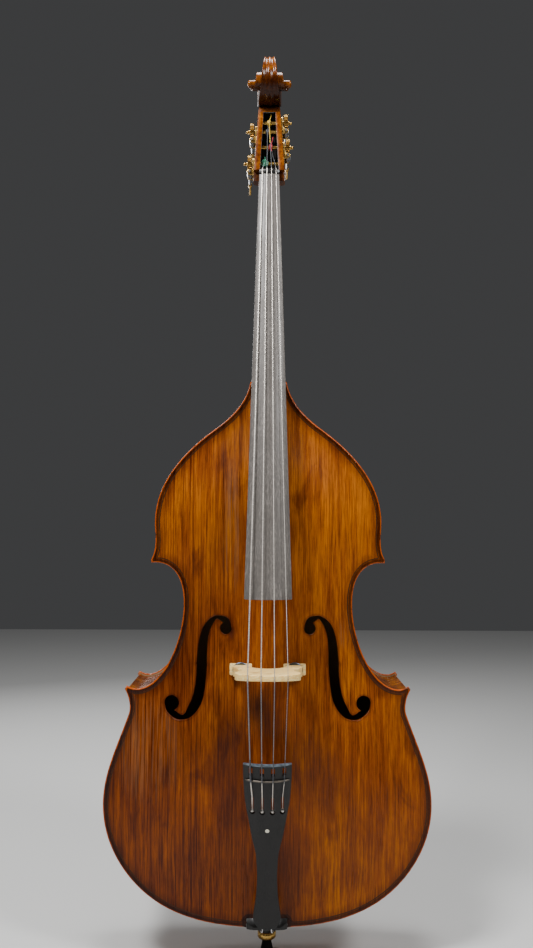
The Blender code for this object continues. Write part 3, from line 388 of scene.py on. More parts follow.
def grown(tree, values, points=(), pattern=None):
    """The plain mesh that a tree makes, from points to stand on and a mesh to repeat."""
    mesh = bpy.data.meshes.new("points")
    mesh.from_pydata([tuple(p) for p in points], [], [])
    obj = bpy.data.objects.new("grower", mesh)
    bpy.context.scene.collection.objects.link(obj)
    step = obj.modifiers.new("tree", "NODES")
    step.node_group = tree
    used = [obj]
    if pattern:
        thing = bpy.data.objects.new("pattern", pattern)
        bpy.context.scene.collection.objects.link(thing)
        values = dict(values, Piece=thing)
        used.append(thing)
    for socket in tree.interface.items_tree:
        if socket.in_out == "INPUT" and socket.name in values:
            step[socket.identifier] = values[socket.name]
    graph = bpy.context.evaluated_depsgraph_get()
    made = bpy.data.meshes.new_from_object(obj.evaluated_get(graph))
    for old in used:
        bpy.data.objects.remove(old)
    bm = bmesh.new()
    bm.from_mesh(made)
    return settled(bm, 40)


# ---------------------------------------------------------------- materials
class Finish:
    """A node-built material with short calls for its textures."""

    def __init__(self, name, roughness=0.5, metallic=0.0, coat=0.0, coat_roughness=0.1, sheen=0.0):
        self.material = bpy.data.materials.new(name)
        self.material.use_nodes = True
        self.tree = self.material.node_tree
        self.shader = self.tree.nodes["Principled BSDF"]
        for label, value in (("Roughness", roughness), ("Metallic", metallic), ("Coat Weight", coat),
                             ("Coat Roughness", coat_roughness), ("Sheen Weight", sheen)):
            self.shader.inputs[label].default_value = value
        self.place = self.tree.nodes.new("ShaderNodeTexCoord").outputs["Object"]

    def put(self, value, socket):
        if isinstance(value, bpy.types.NodeSocket):
            self.tree.links.new(value, socket)
        else:
            socket.default_value = value

    def stretched(self, scale, source=None):
        node = self.tree.nodes.new("ShaderNodeMapping")
        node.inputs["Scale"].default_value = scale
        self.put(source or self.place, node.inputs["Vector"])
        return node.outputs[0]

    def noise(self, scale, detail=4.0, rough=0.55, source=None, distortion=0.0):
        """Noise that varies this many times a metre along each axis."""
        node = self.tree.nodes.new("ShaderNodeTexNoise")
        node.inputs["Scale"].default_value = 1.0
        node.inputs["Detail"].default_value = detail
        node.inputs["Roughness"].default_value = rough
        node.inputs["Distortion"].default_value = distortion
        self.put(self.stretched(scale, source), node.inputs["Vector"])
        return node.outputs["Fac"]

    def maths(self, operation, a, b=0.0):
        node = self.tree.nodes.new("ShaderNodeMath")
        node.operation = operation
        self.put(a, node.inputs[0])
        self.put(b, node.inputs[1])
        return node.outputs[0]

    def plus(self, a, b):
        return self.maths("ADD", a, b)

    def minus(self, a, b):
        return self.maths("SUBTRACT", a, b)

    def times(self, a, b):
        return self.maths("MULTIPLY", a, b)

    def larger(self, a, b):
        return self.maths("MAXIMUM", a, b)

    def span(self, value, low, high, start=0.0, end=1.0):
        """A value's place between low and high, smoothly from start to end."""
        node = self.tree.nodes.new("ShaderNodeMapRange")
        node.interpolation_type = "SMOOTHSTEP"
        for socket, given in zip(node.inputs[:5], (value, low, high, start, end)):
            self.put(given, socket)
        return node.outputs[0]

    def mixed(self, factor, a, b, mode="MIX"):
        node = self.tree.nodes.new("ShaderNodeMix")
        node.data_type = "RGBA"
        node.blend_type = mode
        for socket, given in ((node.inputs[0], factor), (node.inputs[6], a), (node.inputs[7], b)):
            if isinstance(given, tuple):
                given = (*given, 1.0)
            self.put(given, socket)
        return node.outputs[2]

    def tinted(self, factor, colour, tint):
        """A colour multiplied by a tint, as far as the factor says."""
        return self.mixed(factor, colour, tint, "MULTIPLY")

    def blob(self, centre, reach):
        """A soft oval patch on the front, full in its middle; centre and reach are in x and height."""
        node = self.tree.nodes.new("ShaderNodeSeparateXYZ")
        self.put(self.place, node.inputs[0])
        middle = Vector((centre[0], 0, centre[1])) + BASE
        parts = []
        for label, at, size in (("X", middle.x, reach[0]), ("Z", middle.z, reach[1])):
            gap = self.maths("DIVIDE", self.minus(node.outputs[label], at), size)
            parts.append(self.times(gap, gap))
        return self.span(self.plus(*parts), 1.0, 0.0)

    def attribute(self, name):
        node = self.tree.nodes.new("ShaderNodeAttribute")
        node.attribute_name = name
        return node.outputs["Fac"]

    def axis(self, letter):
        node = self.tree.nodes.new("ShaderNodeSeparateXYZ")
        self.put(self.place, node.inputs[0])
        return node.outputs[letter]

    def colour(self, value):
        if isinstance(value, tuple):
            value = (*value, 1.0)
        self.put(value, self.shader.inputs["Base Color"])

    def roughness(self, value):
        self.put(value, self.shader.inputs["Roughness"])

    def bump(self, height, distance, strength=1.0):
        node = self.tree.nodes.new("ShaderNodeBump")
        node.inputs["Strength"].default_value = strength
        node.inputs["Distance"].default_value = distance
        self.put(height, node.inputs["Height"])
        self.put(node.outputs[0], self.shader.inputs["Normal"])


GOLD = (0.46, 0.130, 0.0008)
AMBER = (0.250, 0.054, 0.0005)
RED_BROWN = (0.118, 0.0195, 0.0006)
SMOKE = (0.016, 0.006, 0.003)
RIM_ORANGE = (0.42, 0.072, 0.002)
INNER_SPRUCE = (0.40, 0.27, 0.15)


def spruce_varnish():
    """Worn amber varnish over upright spruce grain, redder at the lower bass side."""
    f = Finish("spruce_varnish", roughness=0.36, coat=0.07, coat_roughness=0.12)
    f.shader.inputs["Specular IOR Level"].default_value = 0.14
    cloud = f.noise((6.5, 3, 3.6), 5, 0.62)
    streak = f.noise((85, 5, 6), 5, 0.66)
    mottle = f.noise((260, 22, 12), 5, 0.70)
    rings = f.noise((290, 8, 1.4), 2, 0.5)
    fine = f.noise((760, 30, 14), 4, 0.65)
    pores = f.noise((900, 60, 45), 3, 0.7)
    across = f.span(f.axis("X"), -0.34, 0.24)
    low = f.blob((-0.17, 0.20), (0.20, 0.22))
    warm = f.plus(f.times(across, 0.10), f.times(low, -0.05))
    upper = f.span(f.axis("Z"), BASE.z + 0.55, BASE.z + 0.82, 0.0, 0.07)
    warm = f.plus(warm, upper)
    tone = f.plus(f.times(cloud, 0.50), f.times(streak, 0.40))
    tone = f.plus(tone, f.times(mottle, 0.40))
    tone = f.plus(tone, f.plus(warm, 0.075))
    colour = f.mixed(f.span(tone, 0.60, 0.82), RED_BROWN, AMBER)
    colour = f.mixed(f.span(tone, 0.76, 0.98), colour, GOLD)
    ring_depth = f.span(f.axis("X"), 0.10, -0.16, 0.25, 0.72)
    dark_line = f.times(f.span(rings, 0.50, 0.62), ring_depth)
    colour = f.tinted(dark_line, colour, (0.36, 0.26, 0.22))
    colour = f.tinted(f.span(fine, 0.45, 0.62, 0.0, 0.62), colour, (0.34, 0.24, 0.18))
    strokes = f.noise((420, 40, 16), 4, 0.66)
    colour = f.tinted(f.span(strokes, 0.48, 0.62, 0.0, 0.48), colour, (0.38, 0.27, 0.21))
    colour = f.mixed(f.span(pores, 0.58, 0.72, 0.0, 0.50), colour, SMOKE)
    smudge = f.noise((16, 4, 6), 4, 0.62, distortion=0.6)
    colour = f.tinted(f.span(smudge, 0.54, 0.72, 0.0, 0.70), colour, (0.34, 0.20, 0.16))
    # Painted shadow: darker patches below the bridge and round the tailpiece.
    shade = f.larger(f.blob((0.0, 0.435), (0.060, 0.090)), f.blob((-0.075, 0.33), (0.05, 0.20)))
    shade = f.larger(shade, f.blob((0.035, 0.15), (0.05, 0.17)))
    colour = f.tinted(f.times(shade, 0.55), colour, (0.26, 0.16, 0.12))
    # Painted sheen: pale grey-brown patches where light glances off the varnish; the roughness below rises in
    # them too.
    painted_sheen = f.larger(f.blob((-0.245, 0.36), (0.085, 0.13)), f.blob((-0.075, 0.80), (0.03, 0.17)))
    painted_sheen = f.larger(painted_sheen, f.blob((0.155, 0.60), (0.022, 0.05)))
    painted_sheen = f.times(painted_sheen, f.span(f.noise((260, 20, 5), 4, 0.6), 0.42, 0.62))
    colour = f.mixed(f.times(painted_sheen, 0.34), colour, (0.22, 0.12, 0.06))
    edge = f.attribute("edge")
    hole = f.attribute("hole")
    chips = f.noise((70, 70, 70), 5, 0.7)
    ragged = f.plus(edge, f.times(f.minus(chips, 0.5), 0.0035))
    # Darker towards the edge, from 30 mm in to 10 mm in.
    darker_near_edge = f.times(f.span(edge, 0.030, 0.010), 0.50)
    colour = f.tinted(darker_near_edge, colour, (0.26, 0.15, 0.10))
    # A dark band 9.5 to 13.5 mm in from the edge: the purfling's dark line together with painted shadow in
    # the channel.
    band = f.span(f.plus(edge, f.times(chips, 0.006)), 0.0135, 0.0095)
    colour = f.tinted(f.times(band, 0.82), colour, (0.10, 0.06, 0.05))
    notch = f.span(f.maths("ABSOLUTE", f.axis("X")), 0.046, 0.050)
    notch = f.larger(notch, f.span(f.axis("Z"), BASE.z + 0.4, BASE.z + 0.5))
    bare_rim = f.times(f.span(ragged, 0.0030, 0.0016, 0.0, 0.88), notch)
    colour = f.mixed(bare_rim, colour, RIM_ORANGE)
    # A broken dark line just inside the rim.
    dark_rim_line = f.mixed(f.span(edge, 0.0036, 0.0020), colour, (0.05, 0.016, 0.006))
    colour = f.mixed(f.span(chips, 0.52, 0.66, 0.0, 0.85), colour, dark_rim_line)
    colour = f.tinted(f.span(hole, 0.0060, 0.0010, 0.0, 0.55), colour, (0.24, 0.12, 0.08))
    colour = f.mixed(f.attribute("inner"), colour, INNER_SPRUCE)
    f.colour(colour)
    shine = f.plus(streak, f.times(cloud, 0.6))
    f.roughness(f.plus(f.span(shine, 0.55, 1.05, 0.26, 0.42), f.times(painted_sheen, 0.14)))
    f.bump(f.plus(rings, f.times(fine, 0.7)), 0.0004, 0.4)
    return f.material


def maple_varnish(name, along=None, strength=0.55):
    """Amber varnish over flamed maple. The flames lie across the axis or attribute named by along."""
    f = Finish(name, roughness=0.32, coat=0.09, coat_roughness=0.10)
    f.shader.inputs["Specular IOR Level"].default_value = 0.18
    if along == "along":
        node = f.tree.nodes.new("ShaderNodeCombineXYZ")
        f.put(f.attribute("along"), node.inputs["X"])
        f.put(f.axis("Y"), node.inputs["Y"])
        f.put(f.axis("Z"), node.inputs["Z"])
        flame = f.noise((85, 5, 2), 3, 0.6, node.outputs[0], 0.5)
        fibre = f.noise((25, 700, 60), 4, 0.6, node.outputs[0])
    else:
        flame = f.noise((5, 3, 72), 3, 0.6, distortion=0.5)
        fibre = f.noise((650, 500, 14), 4, 0.6)
    cloud = f.noise((9, 9, 6), 5, 0.62)
    colour = f.mixed(f.span(cloud, 0.36, 0.64), (0.12, 0.027, 0.0006), (0.36, 0.108, 0.0010))
    colour = f.tinted(f.span(flame, 0.44, 0.60, 0.0, strength), colour, (0.40, 0.28, 0.22))
    colour = f.tinted(f.span(fibre, 0.46, 0.66, 0.0, 0.55), colour, (0.36, 0.25, 0.20))
    grime = f.noise((26, 26, 26), 5, 0.66)
    colour = f.mixed(f.span(grime, 0.56, 0.72, 0.0, 0.60), colour, SMOKE)
    if along == "edge":
        edge = f.attribute("edge")
        colour = f.tinted(f.span(edge, 0.030, 0.009, 0.0, 0.7), colour, (0.24, 0.13, 0.10))
        colour = f.mixed(f.span(edge, 0.0034, 0.0018, 0.0, 0.85), colour, RIM_ORANGE)
        colour = f.mixed(f.attribute("inner"), colour, INNER_SPRUCE)
    if along is None:
        height = f.axis("Z")
        spots = f.noise((240, 240, 130), 5, 0.7)
        colour = f.tinted(f.span(spots, 0.44, 0.60, 0.0, 0.75), colour, (0.38, 0.24, 0.18))
        above = f.minus(height, BASE.z + PEGBOX_LOW[0])
        up = f.maths("DIVIDE", above, PEGBOX_HIGH[0] - PEGBOX_LOW[0])
        cheek = f.plus(f.times(up, CAVITY_HALF[1] - CAVITY_HALF[0]), CAVITY_HALF[0] + 0.0002)
        within_cheeks = f.span(f.minus(f.maths("ABSOLUTE", f.axis("X")), cheek), 0.0003, -0.0001)
        face = f.plus(f.times(up, PEGBOX_HIGH[1] - PEGBOX_LOW[1]), BASE.y + PEGBOX_LOW[1])
        depth = f.minus(f.axis("Y"), face)
        boxed = f.times(f.span(height, BASE.z + 1.5815, BASE.z + 1.5825),
                        f.span(height, BASE.z + 1.7320, BASE.z + 1.7312))
        wall = f.plus(f.times(up, 0.0404), BASE.y + 0.0982)
        boxed = f.times(boxed, f.span(f.minus(f.axis("Y"), wall), 0.0006, -0.0006))
        # Painted highlight: pale blue-grey along the inner edges of the pegbox cheeks.
        cheek_highlight = f.times(f.times(boxed, within_cheeks), f.span(depth, 0.0004, 0.0012))
        colour = f.mixed(cheek_highlight, colour, (0.20, 0.26, 0.30))
        # Painted shade: near black deep in the pegbox cavity.
        cavity_shade = f.times(cheek_highlight, f.span(depth, 0.0030, 0.0060))
        colour = f.mixed(cavity_shade, colour, (0.006, 0.004, 0.003))
        # Painted shadow: darker at the throat under the scroll's overhang, and on the neck below the pegbox.
        throat_shadow = f.times(f.span(height, BASE.z + 1.726, BASE.z + 1.742),
                         f.span(height, BASE.z + 1.806, BASE.z + 1.776))
        shaft = f.larger(throat_shadow, f.span(height, BASE.z + 1.583, BASE.z + 1.576, 0.0, 0.8))
        colour = f.tinted(f.times(shaft, 0.85), colour, (0.16, 0.12, 0.10))
    f.colour(colour)
    f.roughness(f.span(cloud, 0.35, 0.65, 0.20, 0.34))
    f.bump(f.plus(fibre, f.times(flame, 0.4)), 0.00005, 0.12)
    return f.material


def bare_wood():
    """Sawn spruce that has darkened with age, inside the body."""
    f = Finish("bare_wood", roughness=0.72)
    grain = f.noise((180, 180, 5), 4, 0.6)
    cloud = f.noise((12, 12, 6), 3, 0.6)
    colour = f.mixed(f.span(grain, 0.35, 0.65), (0.42, 0.27, 0.14), (0.62, 0.45, 0.27))
    f.colour(f.mixed(f.span(cloud, 0.4, 0.7, 0.0, 0.5), colour, (0.55, 0.45, 0.35), "MULTIPLY"))
    f.bump(grain, 0.0003, 0.5)
    return f.material


def bridge_maple():
    """Unvarnished cream maple with short brown flecks."""
    f = Finish("bridge_maple", roughness=0.46)
    grain = f.noise((60, 420, 420), 4, 0.6)
    fleck = f.noise((110, 420, 700), 4, 0.68)
    stain = f.noise((30, 30, 30), 4, 0.6)
    colour = f.mixed(f.span(grain, 0.35, 0.65), (0.96, 0.58, 0.16), (1.0, 0.78, 0.34))
    colour = f.mixed(f.span(fleck, 0.60, 0.72, 0.0, 0.8), colour, (0.26, 0.12, 0.04))
    f.colour(f.mixed(f.span(stain, 0.52, 0.72, 0.0, 0.6), colour, (0.58, 0.36, 0.20), "MULTIPLY"))
    f.bump(fleck, 0.0002, 0.4)
    return f.material


def ebony(name, base, shine, top_highlight=False):
    """Black wood with faint upright fibres and, on the tailpiece, a paler upper end that is a painted
    highlight.
    """
    f = Finish(name, roughness=shine, coat=0.06, coat_roughness=0.25)
    f.shader.inputs["Specular IOR Level"].default_value = 0.35
    fibre = f.noise((520, 520, 7), 4, 0.6)
    band = f.noise((70, 70, 1.5), 3, 0.6)
    lighter = tuple(c * 1.8 + 0.005 for c in base)
    lit = f.times(f.span(fibre, 0.42, 0.66), f.span(band, 0.3, 0.7, 0.3, 1.0))
    colour = f.mixed(lit, base, lighter)
    if top_highlight:
        # Painted highlight: a pale blue-grey top end on the tailpiece, its strength varied by noise.
        up = f.times(f.minus(f.axis("Z"), BASE.z + TAIL_FOOT[1]), math.cos(TAIL_ANGLE))
        out = f.times(f.minus(f.axis("Y"), BASE.y + TAIL_FOOT[0]), math.sin(TAIL_ANGLE))
        upper = f.span(f.minus(up, out), TAIL_LENGTH - 0.0014, TAIL_LENGTH - 0.0004)
        highlight_strength = f.span(f.noise((90, 90, 90), 4, 0.6), 0.35, 0.60, 0.35, 0.85)
        colour = f.mixed(f.times(upper, highlight_strength), colour, (0.12, 0.16, 0.20))
    f.colour(colour)
    f.roughness(f.span(band, 0.35, 0.65, shine - 0.05, shine + 0.09))
    f.bump(fibre, 0.00012, 0.5)
    return f.material


def metal(name, colour, tarnish, shine, scratch=(900, 900, 60)):
    """Polished metal with fine scratches and some tarnish."""
    f = Finish(name, roughness=shine, metallic=1.0)
    lines = f.noise(scratch, 3, 0.6)
    spots = f.noise((160, 160, 160), 5, 0.65)
    f.colour(f.mixed(f.span(spots, 0.50, 0.70, 0.0, 0.75), colour, tarnish))
    f.roughness(f.plus(f.span(lines, 0.35, 0.65, shine - 0.04, shine + 0.08),
                        f.span(spots, 0.5, 0.7, 0.0, 0.14)))
    f.bump(lines, 0.00006, 0.5)
    return f.material


def wound(name, colour, dark, metallic, shine, pitch=1500, sheen=0.0, darker_ends=False):
    """A thread or a flat metal ribbon wound round a string, darker past the bridge and, as painted shade, in
    the pegbox.
    """
    f = Finish(name, roughness=shine, metallic=metallic, sheen=sheen)
    turns = f.noise((90, 90, pitch), 2, 0.5)
    wear = f.noise((60, 60, 25), 4, 0.6)
    shade = f.mixed(f.span(turns, 0.40, 0.60), dark, colour)
    shade = f.mixed(f.span(wear, 0.55, 0.75, 0.0, 0.4), shade, dark)
    if darker_ends:
        # Painted shade inside the pegbox; the string is also darker past the bridge.
        height = f.axis("Z")
        past_fret = f.span(height, BASE.z + 0.318, BASE.z + 0.328, 0.25, 1.0)
        end = f.times(f.span(height, BASE.z + 0.530, BASE.z + 0.518, 0.0, 0.80), past_fret)
        end = f.larger(end, f.span(height, BASE.z + 1.580, BASE.z + 1.586, 0.0, 0.92))
        shade = f.mixed(end, shade, (0.045, 0.055, 0.070))
    f.colour(shade)
    f.bump(turns, 0.00012, 0.6)
    return f.material


def plain_rough(name, colour, lighter, shine):
    f = Finish(name, roughness=shine)
    f.shader.inputs["Specular IOR Level"].default_value = 0.15
    grit = f.noise((500, 500, 500), 4, 0.65)
    dust = f.noise((40, 40, 40), 4, 0.6)
    f.colour(f.mixed(f.span(dust, 0.45, 0.75, 0.0, 0.7), colour, lighter))
    f.roughness(f.span(grit, 0.3, 0.7, shine - 0.08, shine + 0.08))
    f.bump(grit, 0.0002, 0.5)
    return f.material


SPRUCE = spruce_varnish()
MAPLE_BACK = maple_varnish("maple_back", "edge")
MAPLE_RIB = maple_varnish("maple_rib", "along")
MAPLE_NECK = maple_varnish("maple_neck", None, 0.35)
BARE = bare_wood()
BRIDGE = bridge_maple()
BOARD = ebony("fingerboard_ebony", (0.100, 0.089, 0.080), 0.42)
EBONY = ebony("fitting_ebony", (0.004, 0.0035, 0.003), 0.34)
TAIL_EBONY = ebony("tailpiece_ebony", (0.0030, 0.0026, 0.0024), 0.46, True)
BRASS = metal("brass", (0.58, 0.36, 0.10), (0.08, 0.042, 0.015), 0.24)
OLD_BRASS = metal("old_brass", (0.26, 0.15, 0.05), (0.08, 0.045, 0.02), 0.36)
STEEL = metal("steel", (0.52, 0.52, 0.53), (0.16, 0.155, 0.15), 0.22)
DARK_METAL = metal("adjuster_metal", (0.10, 0.12, 0.16), (0.05, 0.06, 0.08), 0.34)
NICKEL = metal("nickel_fret", (0.15, 0.13, 0.11), (0.05, 0.042, 0.035), 0.42)
STRING = wound("string_steel", (0.92, 0.85, 0.76), (0.55, 0.51, 0.46), 0.55, 0.36, darker_ends=True)
RUBBER = plain_rough("rubber", (0.010, 0.010, 0.010), (0.05, 0.05, 0.048), 0.72)
PURFLING = plain_rough("purfling_black", (0.012, 0.007, 0.005), (0.05, 0.02, 0.01), 0.40)
PURFLING_MIDDLE = plain_rough("purfling_middle", (0.060, 0.022, 0.006), (0.030, 0.010, 0.003), 0.40)
INLAY = plain_rough("inlay_bone", (0.72, 0.68, 0.56), (0.50, 0.44, 0.32), 0.35)
SILK = {
    "e": wound("silk_green", (0.010, 0.26, 0.13), (0.004, 0.09, 0.05), 0.0, 0.55, 1100, 0.3),
    "a": wound("silk_dark", (0.030, 0.034, 0.050), (0.010, 0.011, 0.016), 0.0, 0.55, 1100, 0.3),
    "d": wound("silk_yellow", (0.72, 0.46, 0.010), (0.34, 0.19, 0.005), 0.0, 0.55, 1100, 0.3),
    "g": wound("silk_red", (0.55, 0.010, 0.035), (0.22, 0.004, 0.012), 0.0, 0.55, 1100, 0.3),
}
RING_TREE = ring_tree()
SPOTS_TREE = spots_tree()
COIL_TREE = coil_tree()


# ---------------------------------------------------------------- body outline
def bezier(p0, p1, p2, p3):
    """Points of one cubic, evenly stepped, without its first."""
    rough = sum(math.dist(a, b) for a, b in ((p0, p1), (p1, p2), (p2, p3)))
    steps = max(3, round(rough / OUTLINE_STEP))
    points = []
    for i in range(1, steps + 1):
        t = i / steps
        s = 1 - t
        weights = (s * s * s, 3 * s * s * t, 3 * s * t * t, t * t * t)
        points.append(tuple(sum(w * p[k] for w, p in zip(weights, (p0, p1, p2, p3))) for k in (0, 1)))
    return points


def millimetres(*points):
    return [(x / 1000, z / 1000) for x, z in points]


NECK_ROOT = (0.038, BODY_LENGTH)
UPPER_CORNER = millimetres((241.5, 741), (241.3, 734))
LOWER_CORNER = millimetres((289, 483), (293, 476))


def upper_curve():
    """Treble side, from the neck root over the shoulder to the upper corner."""
    a = millimetres((45, 1068), (77, 1037), (107, 1014.5))
    b = millimetres((180, 962), (234.5, 898), (234.5, 818))
    c = millimetres((234.5, 795), (228, 765))
    points = [NECK_ROOT] + bezier(NECK_ROOT, *a) + bezier(a[2], *b)
    return points + bezier(b[2], *c, UPPER_CORNER[0])


def middle_curve():
    """Treble side, round the waist from the upper corner to the lower corner."""
    a = millimetres((210, 739), (173.5, 720), (173.5, 650))
    b = millimetres((173.5, 575), (214, 479), (268, 476.6))
    c = millimetres((276, 476.6), (283, 479))
    points = [UPPER_CORNER[1]] + bezier(UPPER_CORNER[1], *a) + bezier(a[2], *b)
    return points + bezier(b[2], *c, LOWER_CORNER[0])


def lower_curve():
    """Treble side, from the lower corner round the lower bout to the bottom middle."""
    a = millimetres((283, 459), (280, 438), (284.5, 425))
    b = millimetres((311, 352), (335, 305), (335, 245))
    c = millimetres((335, 165), (290, 99), (238, 60))
    d = millimetres((174, 12), (90, 0), (0, 0))
    points = [LOWER_CORNER[1]] + bezier(LOWER_CORNER[1], *a) + bezier(a[2], *b)
    return points + bezier(b[2], *c) + bezier(c[2], *d)


def mirrored(points):
    return [(-x, z) for x, z in reversed(points)]


HALF = upper_curve() + middle_curve() + lower_curve()
OUTLINE = HALF + mirrored(HALF[:-1])


def offset(points, distance):
    """An open path moved to its right, looking along it."""
    moved = []
    for i, (x, z) in enumerate(points):
        before = points[max(i - 1, 0)]
        after = points[min(i + 1, len(points) - 1)]
        along = Vector((after[0] - before[0], after[1] - before[1])).normalized()
        moved.append((x + along.y * distance, z - along.x * distance))
    return moved


def distances(points, loop):
    """The shortest distance from each point to a closed loop."""
    spots = np.array(points, float).reshape(-1, 2)
    start = np.array(loop, float)
    run = np.roll(start, -1, axis=0) - start
    length = np.maximum((run * run).sum(1), 1e-12)
    found = np.empty(len(spots))
    for low in range(0, len(spots), 1500):
        away = spots[low:low + 1500, None, :] - start[None]
        t = np.clip((away * run).sum(2) / length, 0, 1)
        found[low:low + 1500] = np.sqrt(((away - t[..., None] * run) ** 2).sum(2)).min(1)
    return found


def within(points, loop):
    """Which points lie inside a closed loop."""
    spots = np.array(points, float).reshape(-1, 2)
    a = np.array(loop, float)
    b = np.roll(a, -1, axis=0)
    odd = np.zeros(len(spots), bool)
    for (x0, z0), (x1, z1) in zip(a, b):
        if z0 != z1:
            crosses = (z0 > spots[:, 1]) != (z1 > spots[:, 1])
            odd ^= crosses & (spots[:, 0] < x0 + (x1 - x0) * (spots[:, 1] - z0) / (z1 - z0))
    return odd


def back_edge(z):
    """The ribs' rear edge, which slopes forward towards the neck."""
    slope = share(z, TAPER_START, BODY_LENGTH)
    return PLATE_EDGE + GAP + RIB_DEPTH - RIB_TAPER * slope * slope


def arching(x, z, edge, height):
    """Height of a plate's arching over its edge, less the shallow channel inside the edge."""
    rise = share(edge, 0.014, 0.150)
    crown = (1 - (x / 0.36) ** 2) * (1 - ((z - 0.56) / 0.66) ** 2)
    channel = 0.0009 * math.exp(-((edge - 0.0105) / 0.0045) ** 2)
    return height * rise * rise * (3 - 2 * rise) * (0.74 + 0.26 * crown) - channel


# ---------------------------------------------------------------- plates
EDGE_ROUND = 0.0029
HOLE_ROUND = 0.0009
EDGE_STEPS = (0.0004, 0.0010, 0.0018, 0.0030, 0.0050, 0.0078, 0.0110, 0.0150)
HOLE_STEPS = (0.0004, 0.0009, 0.0025, 0.0060)
NICK, NICK_HALF = 0.0024, 0.0013
BRIDGE_LINE = 0.529
STEM_X = 0.134


def sound_hole():
    """Treble-side f-hole: two round eyes, a stem between two hooks, and a nick on each side."""
    def eye(centre, radius, start, end):
        angles = [math.radians(mix(start, end, i / 30)) for i in range(31)]
        return [(centre[0] + radius * math.cos(a), centre[1] + radius * math.sin(a)) for a in angles]

    def nicked(path, side):
        """The path with a small V cut into the wood at the height of the bridge."""
        height = BRIDGE_LINE
        made = []
        for a, b in zip(path, path[1:]):
            made.append(a)
            on_stem = abs(a[0] - STEM_X) < 0.02
            if on_stem and (a[1] - height) * (b[1] - height) <= 0:
                way = 1 if b[1] > a[1] else -1
                x = (a[0] + b[0]) / 2
                step = way * NICK_HALF
                made += [(x, height - step), (x + side * NICK, height), (x, height + step)]
        return made + [path[-1]]

    upper_eye = list(reversed(eye((0.0854, 0.6024), 0.0118, 62, -205)))
    lower_eye = eye((0.1957, 0.4500), 0.0148, -17, 246)
    inner = millimetres((103.4, 621), (110, 614.5), (117, 601), (121.6, 585), (123.6, 560),
                        (124, 530), (125.5, 501), (129.5, 469), (136.5, 447.5), (149.4, 429.6),
                        (163, 420.6), (181.2, 418.4), (196, 424.6), (206.5, 435.5))
    outer = millimetres((172.2, 427.0), (161.5, 443.2), (152, 465.4), (146, 499.5), (144.8, 534.8),
                        (142.8, 562), (136.8, 592), (128.3, 610), (116.5, 621.7), (103, 627.5),
                        (89.6, 626.7), (79, 620))
    inner = nicked(through([upper_eye[-1]] + inner + [lower_eye[0]], 5), -1)
    outer = nicked(through([lower_eye[-1]] + outer + [upper_eye[0]], 5), 1)
    return upper_eye + inner[1:-1] + lower_eye + outer[1:-1]


def sheet_points(outline, holes):
    """Points to triangulate a plate on: rows along every edge, and a grid between."""
    rows = []
    for loop, depths in [(outline, EDGE_STEPS)] + [(hole, HOLE_STEPS) for hole in holes]:
        for depth in depths:
            for way in (-1, 1):
                moved = offset(loop + loop[:1], way * depth)[:-1]
                rows += [(p, depth) for p in moved]
    spots = [p for p, _ in rows]
    keep = within(spots, outline)
    nearest = distances(spots, outline)
    for hole in holes:
        keep &= ~within(spots, hole)
        nearest = np.minimum(nearest, distances(spots, hole))
    keep &= nearest > 0.93 * np.array([depth for _, depth in rows])
    kept = [p for p, good in zip(spots, keep) if good]

    lines = int(BODY_LENGTH / (PLATE_STEP * 0.866)) + 1
    grid = [((column + (line % 2) / 2) * PLATE_STEP, 0.004 + line * PLATE_STEP * 0.866)
            for line in range(lines) for column in range(int(-0.34 / PLATE_STEP), int(0.34 / PLATE_STEP) + 1)]
    keep = within(grid, outline) & (distances(grid, outline) > 0.0150 + PLATE_STEP * 0.6)
    for hole in holes:
        keep &= ~within(grid, hole) & (distances(grid, hole) > 0.0060 + PLATE_STEP * 0.5)
    return kept + [p for p, good in zip(grid, keep) if good]


def rounding(distance, radius):
    """How far a rounded edge falls away at a distance in from it."""
    inside = 1 - np.clip(distance / radius, 0, 1)
    return radius * (1 - np.sqrt(1 - 0.94 * inside * inside))


